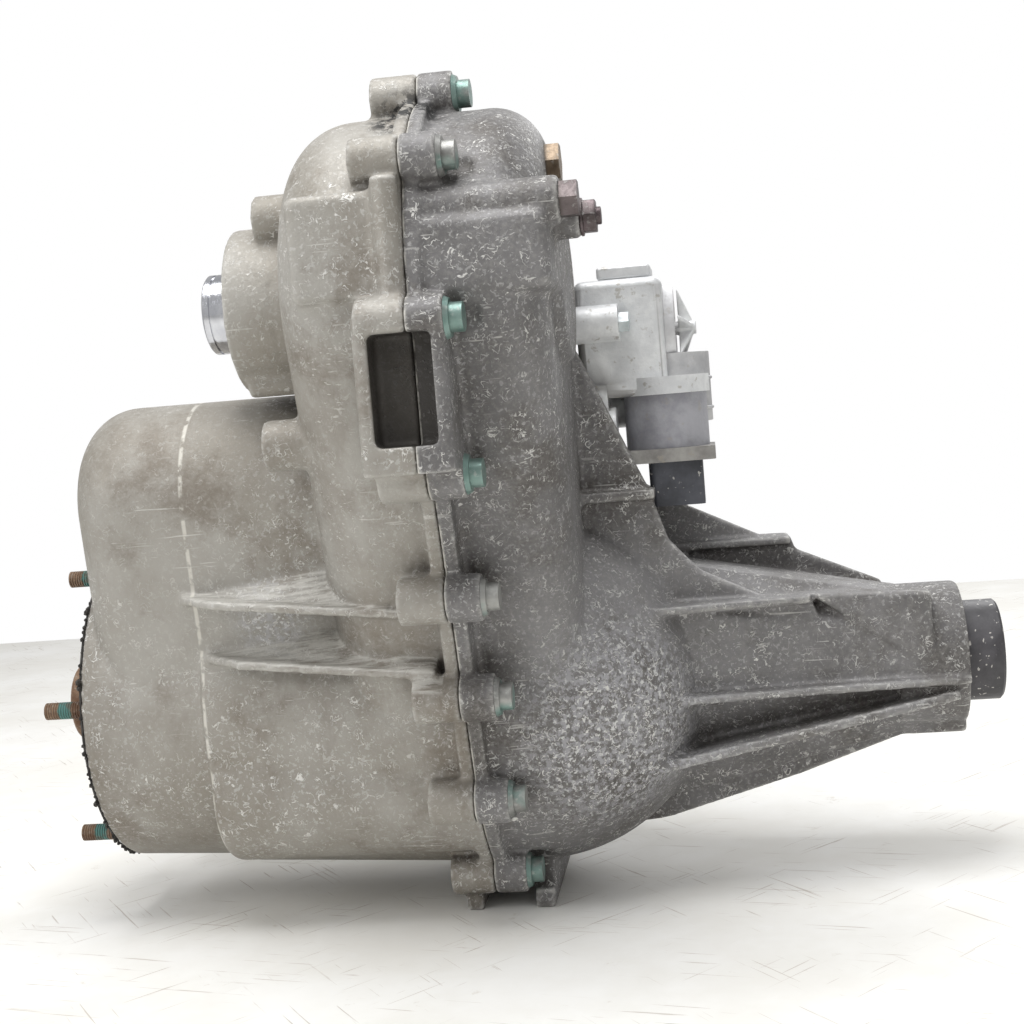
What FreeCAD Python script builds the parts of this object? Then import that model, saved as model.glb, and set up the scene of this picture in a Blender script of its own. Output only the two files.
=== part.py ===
import FreeCAD, Part
import Sketcher
import math
import os

# Transfer case: two cast aluminium case halves split square to the main shaft, a planetary
# reduction in the front half, a multi-plate clutch and chain drive to the front output, a tail
# housing for the rear output and an electric shift actuator on the back of the case.
# X runs along the main shaft towards the rear output, Z is up, and the origin is the centre of the
# input flange face. All lengths are in millimetres.

DOC = FreeCAD.newDocument("transfer_case")

SIZES = [
    # input flange and front drum
    ("flange_radius", 98), ("drum_mid_radius", 101), ("drum_step_x", 75), ("drum_rear_radius", 105),
    ("wall", 6), ("front_wall", 12), ("gasket_thick", 1),
    ("stud_circle_radius", 90), ("stud_radius", 5), ("stud_root_radius", 4.6), ("stud_reach", 24), ("stud_depth", 20),
    ("hub_reach", 38), ("hub_radius", 25), ("hub_bore_radius", 16),
    # case halves
    ("seam_x", 231), ("lobe_low_radius", 112), ("lobe_high_radius", 98), ("lip_width", 7),
    ("lip_thick", 8), ("chamber_front_x", 156), ("chamber_rear_x", 297), ("dome_front_round", 38),
    ("dome_rear_round", 28), ("dome_centre_x", 255),
    ("bulge_front_x", 5), ("bulge_radius", 58), ("bulge_round", 32),
    ("boss_radius", 13), ("boss_reach", 26), ("boss_seat", 19),
    ("foot_depth", 16), ("foot_half_width", 62),
    # tail housing
    ("tail_end_x", 514), ("collar_radius", 42.5), ("collar_start_x", 474), ("tail_root_x", 322),
    ("boot_radius", 30), ("boot_reach", 22), ("bushing_radius", 22.25), ("bushing_outer", 25.5),
    # chain drive
    ("chain_pitch", 11.1125), ("sprocket_teeth", 37), ("chain_links", 82),
    ("axis_side_offset", 90), ("chain_front_x", 179), ("chain_width", 34),
    # shafts
    ("main_radius", 17), ("main_tail_radius", 20), ("main_end_x", 462),
    ("front_journal_radius", 22.5), ("front_tip_x", 99.5), ("front_boss_x", 110),
    ("front_spline_radius", 14),
    # planetary
    ("gear_module", 2.6), ("sun_teeth", 35), ("planet_teeth", 13), ("ring_teeth", 61),
    ("gear_x", 42), ("gear_width", 30),
    # shift mechanism
    ("rail_radius", 7), ("shift_shaft_radius", 8), ("range_travel", 14),
    # case bolts
    ("bolt_radius", 4), ("bolt_flange_radius", 10.9), ("bolt_head_radius", 7.5),
    # fits
    ("seat_gap", 0.03), ("run_gap", 0.05),
]


class Size:
    """A length with its value now and the sheet formula that gives it."""

    def __init__(self, value, formula):
        self.value = value
        self.formula = formula

    def _join(self, other, sign, value):
        return Size(value, "(" + self.formula + " " + sign + " " + size(other).formula + ")")

    def __add__(self, other):
        return self._join(other, "+", self.value + size(other).value)

    def __sub__(self, other):
        return self._join(other, "-", self.value - size(other).value)

    def __mul__(self, other):
        return self._join(other, "*", self.value * size(other).value)

    def __truediv__(self, other):
        return self._join(other, "/", self.value / size(other).value)

    def __neg__(self):
        return Size(-self.value, "(-1 * " + self.formula + ")")

    __radd__ = __add__
    __rmul__ = __mul__

    def __rsub__(self, other):
        return size(other) - self


def size(number):
    return number if isinstance(number, Size) else Size(float(number), "%.9g" % number)


def root_of(square):
    return Size(math.sqrt(square.value), "sqrt(" + square.formula + ")")


SHEET = DOC.addObject("Spreadsheet::Sheet", "Sizes")
SIZE = {}
for row, (alias, number) in enumerate(SIZES, 1):
    SHEET.set("A%d" % row, alias)
    SHEET.set("B%d" % row, str(number))
    SHEET.setAlias("B%d" % row, alias)
    SIZE[alias] = Size(float(number), "Sizes." + alias)
DOC.recompute()


# ---- building blocks: each is a document object whose sizes follow the sheet ----

AXIS_PLACEMENT = {
    "x": FreeCAD.Rotation(FreeCAD.Vector(0, 1, 0), 90),
    "y": FreeCAD.Rotation(FreeCAD.Vector(1, 0, 0), -90),
    "z": FreeCAD.Rotation(),
}


def bind(item, prop, length):
    item.setExpression(prop, size(length).formula)


def place(item, x=0, y=0, z=0, rotation=FreeCAD.Rotation()):
    spot = FreeCAD.Vector(size(x).value, size(y).value, size(z).value)
    item.Placement = FreeCAD.Placement(spot, rotation)
    for letter, length in (("x", x), ("y", y), ("z", z)):
        bind(item, "Placement.Base." + letter, length)
    return item


def box(name, x0, x1, y0, y1, z0, z1):
    item = DOC.addObject("Part::Box", name)
    bind(item, "Length", size(x1) - x0)
    bind(item, "Width", size(y1) - y0)
    bind(item, "Height", size(z1) - z0)
    return place(item, x0, y0, z0)


def rod(name, radius, start, end, y=0, z=0):
    """A cylinder along X."""
    item = DOC.addObject("Part::Cylinder", name)
    bind(item, "Radius", radius)
    bind(item, "Height", size(end) - start)
    return place(item, start, y, z, AXIS_PLACEMENT["x"])


def post(name, radius, low, high, x, y):
    """A cylinder along Z."""
    item = DOC.addObject("Part::Cylinder", name)
    bind(item, "Radius", radius)
    bind(item, "Height", size(high) - low)
    return place(item, x, y, low)


def cone(name, radius_0, radius_1, start, end, y=0, z=0):
    item = DOC.addObject("Part::Cone", name)
    bind(item, "Radius1", radius_0)
    bind(item, "Radius2", radius_1)
    bind(item, "Height", size(end) - start)
    return place(item, start, y, z, AXIS_PLACEMENT["x"])


def dome(name, radius, x):
    """A half ball that bulges towards +X."""
    item = DOC.addObject("Part::Sphere", name)
    bind(item, "Radius", radius)
    item.Angle1 = 0
    return place(item, x, 0, 0, AXIS_PLACEMENT["x"])


def swing(item, degrees, x, y, z, about_y=0, about_z=0):
    """Places a piece at x, y, z, turns it about the X axis and moves it onto another axis."""
    angle = math.radians(degrees)
    cosine, sine = math.cos(angle), math.sin(angle)
    turned_y = size(y) * cosine - size(z) * sine + about_y
    turned_z = size(y) * sine + size(z) * cosine + about_z
    return place(item, x, turned_y, turned_z, FreeCAD.Rotation(FreeCAD.Vector(1, 0, 0), degrees))


def ball(name, radius, x, y, z):
    item = DOC.addObject("Part::Sphere", name)
    bind(item, "Radius", radius)
    return place(item, x, y, z)


def union(name, *pieces):
    item = DOC.addObject("Part::MultiFuse", name)
    item.Shapes = list(pieces)
    item.Refine = True
    return item


def cut(name, base, *tools):
    item = DOC.addObject("Part::Cut", name)
    item.Base = base
    item.Tool = tools[0] if len(tools) == 1 else union(name + "_tools", *tools)
    item.Refine = True
    return item


def group(name, *pieces):
    """Separate solids that share one node."""
    item = DOC.addObject("Part::Compound", name)
    item.Links = list(pieces)
    return item


def plane_of(body, role):
    return [face for face in body.Origin.OriginFeatures if face.Role == role][0]


def outline(body, name, role, points, start=None):
    """A closed sketch of straight runs; each corner is held at its own bound coordinates."""
    sketch = body.newObject("Sketcher::SketchObject", name)
    sketch.AttachmentSupport = [(plane_of(body, role), "")]
    sketch.MapMode = "FlatFace"
    if start is not None:
        bind(sketch, "AttachmentOffset.Base.z", start)
    corners = [(size(u), size(v)) for u, v in points]
    for here, there in zip(corners, corners[1:] + corners[:1]):
        first = FreeCAD.Vector(here[0].value, here[1].value, 0)
        last = FreeCAD.Vector(there[0].value, there[1].value, 0)
        sketch.addGeometry(Part.LineSegment(first, last), False)
    for index, (across, up) in enumerate(corners):
        following = (index + 1) % len(corners)
        sketch.addConstraint(Sketcher.Constraint("Coincident", index, 2, following, 1))
        for kind, length in (("DistanceX", across), ("DistanceY", up)):
            label = "%s%d" % (kind, index)
            rule = Sketcher.Constraint(kind, -1, 1, index, 1, length.value)
            sketch.renameConstraint(sketch.addConstraint(rule), label)
            bind(sketch, "Constraints." + label, length)
    return sketch


def turned(name, points, y=0, z=0):
    """A piece turned about an axis along X; points are (x, radius)."""
    body = DOC.addObject("PartDesign::Body", name)
    sketch = outline(body, name + "_profile", "XZ_Plane", points)
    feature = body.newObject("PartDesign::Revolution", name + "_turn")
    feature.Profile = sketch
    feature.ReferenceAxis = (sketch, ["H_Axis"])
    feature.Angle = 360
    return place(body, 0, y, z)


def ring(name, inner, outer, start, end, y=0, z=0):
    points = [(start, inner), (start, outer), (end, outer), (end, inner)]
    return turned(name, points, y, z)


def plate(name, role, points, start, thick):
    """A flat piece padded from a sketch; start and thick run along the plane's own axis."""
    body = DOC.addObject("PartDesign::Body", name)
    toward = -1 if role == "XZ_Plane" else 1
    first = size(start) * toward
    sketch = outline(body, name + "_profile", role, points, first)
    feature = body.newObject("PartDesign::Pad", name + "_pad")
    feature.Profile = sketch
    feature.Reversed = toward < 0
    bind(feature, "Length", thick)
    return body


def round_edges(body, feature, radius, wanted, name):
    """Fillets the edges of a body's feature that wanted() picks."""
    DOC.recompute()
    edges = feature.Shape.Edges
    names = ["Edge%d" % (n + 1) for n, edge in enumerate(edges) if wanted(edge.BoundBox)]
    fillet = body.newObject("PartDesign::Fillet", name)
    fillet.Base = (feature, names)
    bind(fillet, "Radius", radius)
    return fillet


def racetrack(name, low, high, start, end, round_at=None, radius=None):
    """Two round lobes and their common tangents, padded along X; low and high are (y, z, radius)."""
    body = DOC.addObject("PartDesign::Body", name)
    sketch = body.newObject("Sketcher::SketchObject", name + "_profile")
    sketch.AttachmentSupport = [(plane_of(body, "YZ_Plane"), "")]
    sketch.MapMode = "FlatFace"
    bind(sketch, "AttachmentOffset.Base.z", start)
    lobes = [[size(term) for term in lobe] for lobe in (low, high)]
    (y0, z0, r0), (y1, z1, r1) = [[term.value for term in lobe] for lobe in lobes]
    along = math.atan2(z1 - z0, y1 - y0)
    lean = math.acos((r0 - r1) / math.hypot(z1 - z0, y1 - y0))
    up = FreeCAD.Vector(0, 0, 1)
    circles = [Part.Circle(FreeCAD.Vector(y0, z0, 0), up, r0), Part.Circle(FreeCAD.Vector(y1, z1, 0), up, r1)]
    turn = 2 * math.pi
    arcs = [Part.ArcOfCircle(circles[0], along + lean, along - lean + turn),
            Part.ArcOfCircle(circles[1], along - lean, along + lean)]
    sides = [Part.LineSegment(arcs[0].EndPoint, arcs[1].StartPoint),
             Part.LineSegment(arcs[1].EndPoint, arcs[0].StartPoint)]
    for piece in (arcs[0], sides[0], arcs[1], sides[1]):
        sketch.addGeometry(piece, False)
    for index in range(4):
        sketch.addConstraint(Sketcher.Constraint("Tangent", index, 2, (index + 1) % 4, 1))
    for index, lobe in ((0, lobes[0]), (2, lobes[1])):
        rules = (("DistanceX", lobe[0], (-1, 1, index, 3)), ("DistanceY", lobe[1], (-1, 1, index, 3)),
                 ("Radius", lobe[2], (index,)))
        for kind, length, where in rules:
            label = "%s%d" % (kind, index)
            rule = Sketcher.Constraint(kind, *where, length.value)
            sketch.renameConstraint(sketch.addConstraint(rule), label)
            bind(sketch, "Constraints." + label, length)
    pad = body.newObject("PartDesign::Pad", name + "_pad")
    pad.Profile = sketch
    bind(pad, "Length", size(end) - start)
    if round_at is not None:
        edge_x = size(round_at).value
        round_edges(body, pad, radius, lambda span: abs(span.XMin - edge_x) < 1e-4
                    and abs(span.XMax - edge_x) < 1e-4, name + "_round")
    return body


def loft(name, sections):
    """A skin through closed polygons; sections are (x, [(y, z), ...]) with equal point counts."""
    body = DOC.addObject("PartDesign::Body", name)
    sketches = [outline(body, "%s_section_%d" % (name, n), "YZ_Plane", points, x)
                for n, (x, points) in enumerate(sections)]
    feature = body.newObject("PartDesign::AdditiveLoft", name + "_loft")
    feature.Profile = sketches[0]
    feature.Sections = sketches[1:]
    feature.Ruled = True
    return body


def soften(name, item, radius, wanted=lambda span: True):
    """A Part::Fillet over the edges of a primitive that wanted() picks."""
    DOC.recompute()
    fillet = DOC.addObject("Part::Fillet", name)
    fillet.Base = item
    edges = item.Shape.Edges
    fillet.Edges = [(n + 1, radius, radius) for n, edge in enumerate(edges) if wanted(edge.BoundBox)]
    return fillet


def coded(name, shape):
    item = DOC.addObject("Part::Feature", name)
    item.Shape = shape
    return item


def prism(points, start, thick):
    """A solid along X from a closed polygon of (y, z)."""
    corners = [FreeCAD.Vector(start, y, z) for y, z in points]
    return Part.Face(Part.makePolygon(corners + corners[:1])).extrude(FreeCAD.Vector(thick, 0, 0))


def polar(radius, degrees):
    """(y, z) at an angle that starts at +Z and grows towards -Y, the side of the front output."""
    angle = math.radians(degrees)
    return size(radius) * -math.sin(angle), size(radius) * math.cos(angle)


# ---- places that several pieces share ----

LINK_SPAN = (SIZE["chain_links"] - SIZE["sprocket_teeth"]) / 2
CENTRE_DISTANCE = SIZE["chain_pitch"] * LINK_SPAN
FRONT_Y = -SIZE["axis_side_offset"]
FRONT_Z = root_of(CENTRE_DISTANCE * CENTRE_DISTANCE - SIZE["axis_side_offset"] * SIZE["axis_side_offset"])
SEAM = SIZE["seam_x"]
LOW = SIZE["lobe_low_radius"]
HIGH = SIZE["lobe_high_radius"]
WALL = SIZE["wall"]
SEAT = SIZE["seat_gap"]
RUN = SIZE["run_gap"]
RAIL_Y, RAIL_Z = size(-52), size(127)
SHIFT_Y, SHIFT_Z = size(-24), size(150)
TAIL_END = SIZE["tail_end_x"]
GEAR_X = SIZE["gear_x"]
GEAR_END = GEAR_X + SIZE["gear_width"]
PLANET_ORBIT = SIZE["gear_module"] * (SIZE["sun_teeth"] + SIZE["planet_teeth"]) / 2
CHAIN_X = SIZE["chain_front_x"]
CHAIN_END = CHAIN_X + SIZE["chain_width"]


def seam_places():
    """Bolt centres round the seam: on the upper lobe, down both sides and round the lower lobe."""
    lift = SIZE["lip_width"] + 2
    lean = math.degrees(math.atan2(SIZE["axis_side_offset"].value, FRONT_Z.value))
    places = []
    for angle in (8, 54, 100, -32, -78):
        y, z = polar(HIGH + lift, angle)
        places.append((FRONT_Y + y, FRONT_Z + z))
    squeeze = math.degrees(math.asin((LOW.value - HIGH.value) / CENTRE_DISTANCE.value))
    for side in (1, -1):
        normal = lean + side * (90 - squeeze)
        foot = polar(LOW + lift, normal)
        head = polar(HIGH + lift, normal)
        head = (head[0] + FRONT_Y, head[1] + FRONT_Z)
        for share in (0.21, 0.45, 0.73) if side > 0 else (0.1, 0.42, 0.74):
            places.append((foot[0] + (head[0] - foot[0]) * share, foot[1] + (head[1] - foot[1]) * share))
    for angle in (114, 150, -150, -104):
        places.append(polar(LOW + lift, angle))
    return places


SEAM_PLACES = seam_places()


def bosses(name, start, end, radius):
    return [rod("%s_%d" % (name, n), radius, start, end, y, z) for n, (y, z) in enumerate(SEAM_PLACES)]


# ---- front case: drum with the input flange, shift housing bulge, front chain chamber ----

def rib(name, tip_x, end_x, reach, z, tilt):
    """A thin shelf on the near side of the drum that widens towards the seam."""
    inner = -SIZE["drum_mid_radius"] + 22
    points = [(0, inner), (0, inner - 16), (size(end_x) - tip_x, -size(reach)), (size(end_x) - tip_x, inner)]
    shelf = plate(name, "XY_Plane", points, 0, 5)
    shelf.Placement = FreeCAD.Placement(FreeCAD.Vector(size(tip_x).value, 0, size(z).value),
                                        FreeCAD.Rotation(FreeCAD.Vector(0, 1, 0), tilt))
    return shelf


SUMP_Y, SUMP_Z, SUMP_RADIUS = size(-60), size(-58), size(50)
BRACKET_X0, BRACKET_X1 = SEAM - 28, SEAM + 19
BRACKET_Z0, BRACKET_Z1 = size(139), size(217)
BRACKET_FACE, BRACKET_BACK = size(-206), size(-150)
FOOT_LOW = -LOW - SIZE["foot_depth"]
BEARING_IN_X = SIZE["front_wall"]
BEARING_IN_WIDTH, BEARING_IN_RADIUS = size(18), size(42)
SEAL_IN_RADIUS = size(38)
FRONT_SEAL_X = SIZE["front_boss_x"] + 1
FRONT_BEARING_X = FRONT_SEAL_X + 11
FRONT_BEARING_RADIUS, FRONT_BEARING_WIDTH = size(37.5), size(19)
RAIL_START, RAIL_END = size(12), SIZE["chamber_rear_x"] - 8


def front_casting():
    high = (FRONT_Y, FRONT_Z, HIGH)
    chamber = racetrack("front_chamber", (0, 0, LOW - 8), high, SIZE["chamber_front_x"], SEAM,
                        SIZE["chamber_front_x"], SIZE["dome_front_round"])
    bulge = racetrack("shift_bulge", (-10, 15, 84), (RAIL_Y, RAIL_Z, SIZE["bulge_radius"]),
                      SIZE["bulge_front_x"], SEAM - 30, SIZE["bulge_front_x"], SIZE["bulge_round"])
    sump = racetrack("sump", (20, SUMP_Z, SUMP_RADIUS), (SUMP_Y, SUMP_Z + 14, SUMP_RADIUS - 4),
                     SIZE["drum_step_x"], SEAM, SIZE["drum_step_x"], 8)
    lip = racetrack("front_lip", (0, 0, LOW + SIZE["lip_width"]),
                    (FRONT_Y, FRONT_Z, HIGH + SIZE["lip_width"]), SEAM - SIZE["lip_thick"], SEAM)
    flange = cone("flange_drum", SIZE["flange_radius"], SIZE["drum_mid_radius"], 0, SIZE["drum_step_x"] + 4)
    drum = cone("rear_drum", SIZE["drum_rear_radius"], LOW, SIZE["drum_step_x"], SEAM)
    boss = turned("output_boss", [(SIZE["front_boss_x"], 0), (SIZE["front_boss_x"], 38),
                                  (SIZE["front_boss_x"] + 5, 42.5), (162, 47), (176, 56), (176, 0)],
                  FRONT_Y, FRONT_Z)
    ears = [rod("ear_upper", 14, 136, 178, FRONT_Y - 22, FRONT_Z + 47),
            rod("ear_lower", 7, 123, 170, FRONT_Y - 20, FRONT_Z - 42),
            rod("ear_side", 14, 137, 182, FRONT_Y - 46, FRONT_Z - 76)]
    pad = soften("side_pad", box("side_pad_block", 171, SEAM - 10, FRONT_Y - HIGH - 5, FRONT_Y - 30,
                                 FRONT_Z - 6, FRONT_Z + 48), 5)
    bar = post("seam_bar", 7, FRONT_Z - 6, FRONT_Z + 54, SEAM - 7.5, FRONT_Y - HIGH - 4)
    bracket = soften("bracket_block", box("bracket_front_box", BRACKET_X0, SEAM, BRACKET_FACE, BRACKET_BACK,
                                          BRACKET_Z0, BRACKET_Z1), 4,
                     lambda span: span.YMax < BRACKET_FACE.value + 1 and span.XMax < SEAM.value - 1)
    shelf_top = rib("rib_upper", 62, SEAM - 12, 137, 72, 5)
    shelf_low = rib("rib_lower", 76, SEAM - 12, 131, 37, 5)
    foot = box("front_foot", SEAM - 19, SEAM, -SIZE["foot_half_width"], SIZE["foot_half_width"],
               FOOT_LOW, -LOW + 12)
    outside = union("front_outside", chamber, bulge, sump, lip, flange, drum, boss, pad, bar, bracket,
                    shelf_top, shelf_low, foot, *ears,
                    *bosses("front_boss", SEAM - SIZE["boss_reach"], SEAM, SIZE["boss_radius"]))
    hollow = [
        racetrack("front_chamber_hollow", (0, 0, LOW - 8 - WALL), (FRONT_Y, FRONT_Z, HIGH - WALL),
                  SIZE["chamber_front_x"] + WALL, SEAM + 1, SIZE["chamber_front_x"] + WALL,
                  SIZE["dome_front_round"] - WALL),
        racetrack("bulge_hollow", (-10, 15, 84 - WALL), (RAIL_Y, RAIL_Z, SIZE["bulge_radius"] - WALL),
                  SIZE["front_wall"] + 2, SEAM - 30, SIZE["front_wall"] + 2, SIZE["bulge_round"] - WALL - 2),
        cone("drum_hollow", SIZE["flange_radius"] - WALL, SIZE["flange_radius"] - WALL + 0.2,
             SIZE["front_wall"], SIZE["drum_step_x"] + 4),
        cone("rear_drum_hollow", SIZE["drum_mid_radius"] - WALL - 2, LOW - WALL,
             SIZE["drum_step_x"], SEAM + 1),
    ]
    shell = cut("front_shell", outside, *hollow)
    seats = union("front_with_seats", shell,
                  ring("input_bearing_tube", 40, BEARING_IN_RADIUS + 8, BEARING_IN_X - 2,
                       BEARING_IN_X + BEARING_IN_WIDTH + 2),
                  ring("output_bearing_tube", 34, 46, FRONT_BEARING_X - 4,
                       FRONT_BEARING_X + FRONT_BEARING_WIDTH + 4, FRONT_Y, FRONT_Z),
                  rod("rail_seat", 13, SIZE["bulge_front_x"] + 3, RAIL_START + 13, RAIL_Y, RAIL_Z))
    bores = [
        rod("seal_bore", SEAL_IN_RADIUS + SEAT, -1, BEARING_IN_X),
        rod("bearing_bore", BEARING_IN_RADIUS + SEAT, BEARING_IN_X,
            BEARING_IN_X + BEARING_IN_WIDTH + 3),
        rod("output_seal_bore", 34 + SEAT, SIZE["front_boss_x"] - 1, FRONT_BEARING_X - 2, FRONT_Y, FRONT_Z),
        rod("output_neck", 31, FRONT_BEARING_X - 3, FRONT_BEARING_X + 1, FRONT_Y, FRONT_Z),
        rod("output_bearing_bore", FRONT_BEARING_RADIUS + SEAT, FRONT_BEARING_X,
            FRONT_BEARING_X + FRONT_BEARING_WIDTH + 30, FRONT_Y, FRONT_Z),
        rod("rail_bore", SIZE["rail_radius"] + SEAT, RAIL_START, RAIL_START + 20, RAIL_Y, RAIL_Z),
        box("front_foot_gap", SEAM - 9, SEAM + 1, -SIZE["foot_half_width"] - 1, SIZE["foot_half_width"] + 1,
            FOOT_LOW - 1, -LOW - 3),
        box("bracket_slot", BRACKET_X0 + 8, SEAM + 1, BRACKET_FACE - 1, BRACKET_FACE + 19,
            BRACKET_Z0 + 14, BRACKET_Z1 - 8),
    ]
    bores += [rod("stud_hole_%d" % n, SIZE["stud_root_radius"] + SEAT, -1, SIZE["stud_depth"] + 1, y, z)
              for n, (y, z) in enumerate(STUD_PLACES)]
    bores += bosses("front_bolt_hole", SEAM - 19, SEAM + 1, SIZE["bolt_radius"] + SEAT)
    return cut("front_case", seats, *bores)


STUD_PLACES = [polar(SIZE["stud_circle_radius"], 83 + 60 * turn) for turn in range(6)]
front_case = front_casting()


# ---- rear case: rear chain chamber, domed main lobe, webbed tail housing ----

PILOT_X, PILOT_WIDTH, PILOT_RADIUS = size(272), size(16), size(26)
REAR_BEARING_X, REAR_BEARING_WIDTH, REAR_BEARING_RADIUS = size(298), size(18), size(40)
REAR_FACE = SIZE["chamber_rear_x"]
BUSHING_X, BUSHING_WIDTH = TAIL_END - 42, size(24)
BOOT_SEAT_X = TAIL_END - 15
SIDE_BOLT_Y, SIDE_BOLT_Z = FRONT_Y - 84, FRONT_Z + 36
PLUG_Y, PLUG_Z = FRONT_Y - 4, FRONT_Z + 66
PUMP_X = size(274)
ACTUATOR_BOLTS = [(size(-36), size(212)), (size(22), size(160))]


def tail_skin(name, shrink):
    """The pyramid of flat walls between the domed lobe and the round collar."""
    root = [(-50, 44), (-50, -12), (-14, -80), (14, -80), (50, -12), (50, 44), (22, 72), (-22, 72)]
    near_collar = [(-40, 22), (-40, -8), (-14, -43), (14, -43), (40, -8), (40, 22), (22, 40), (-22, 40)]

    def pull(points):
        return [(y - shrink * y / math.hypot(y, z), z - shrink * z / math.hypot(y, z)) for y, z in points]

    return loft(name, [(SIZE["tail_root_x"], pull(root)), (SIZE["collar_start_x"] + 8, pull(near_collar))])


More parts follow.
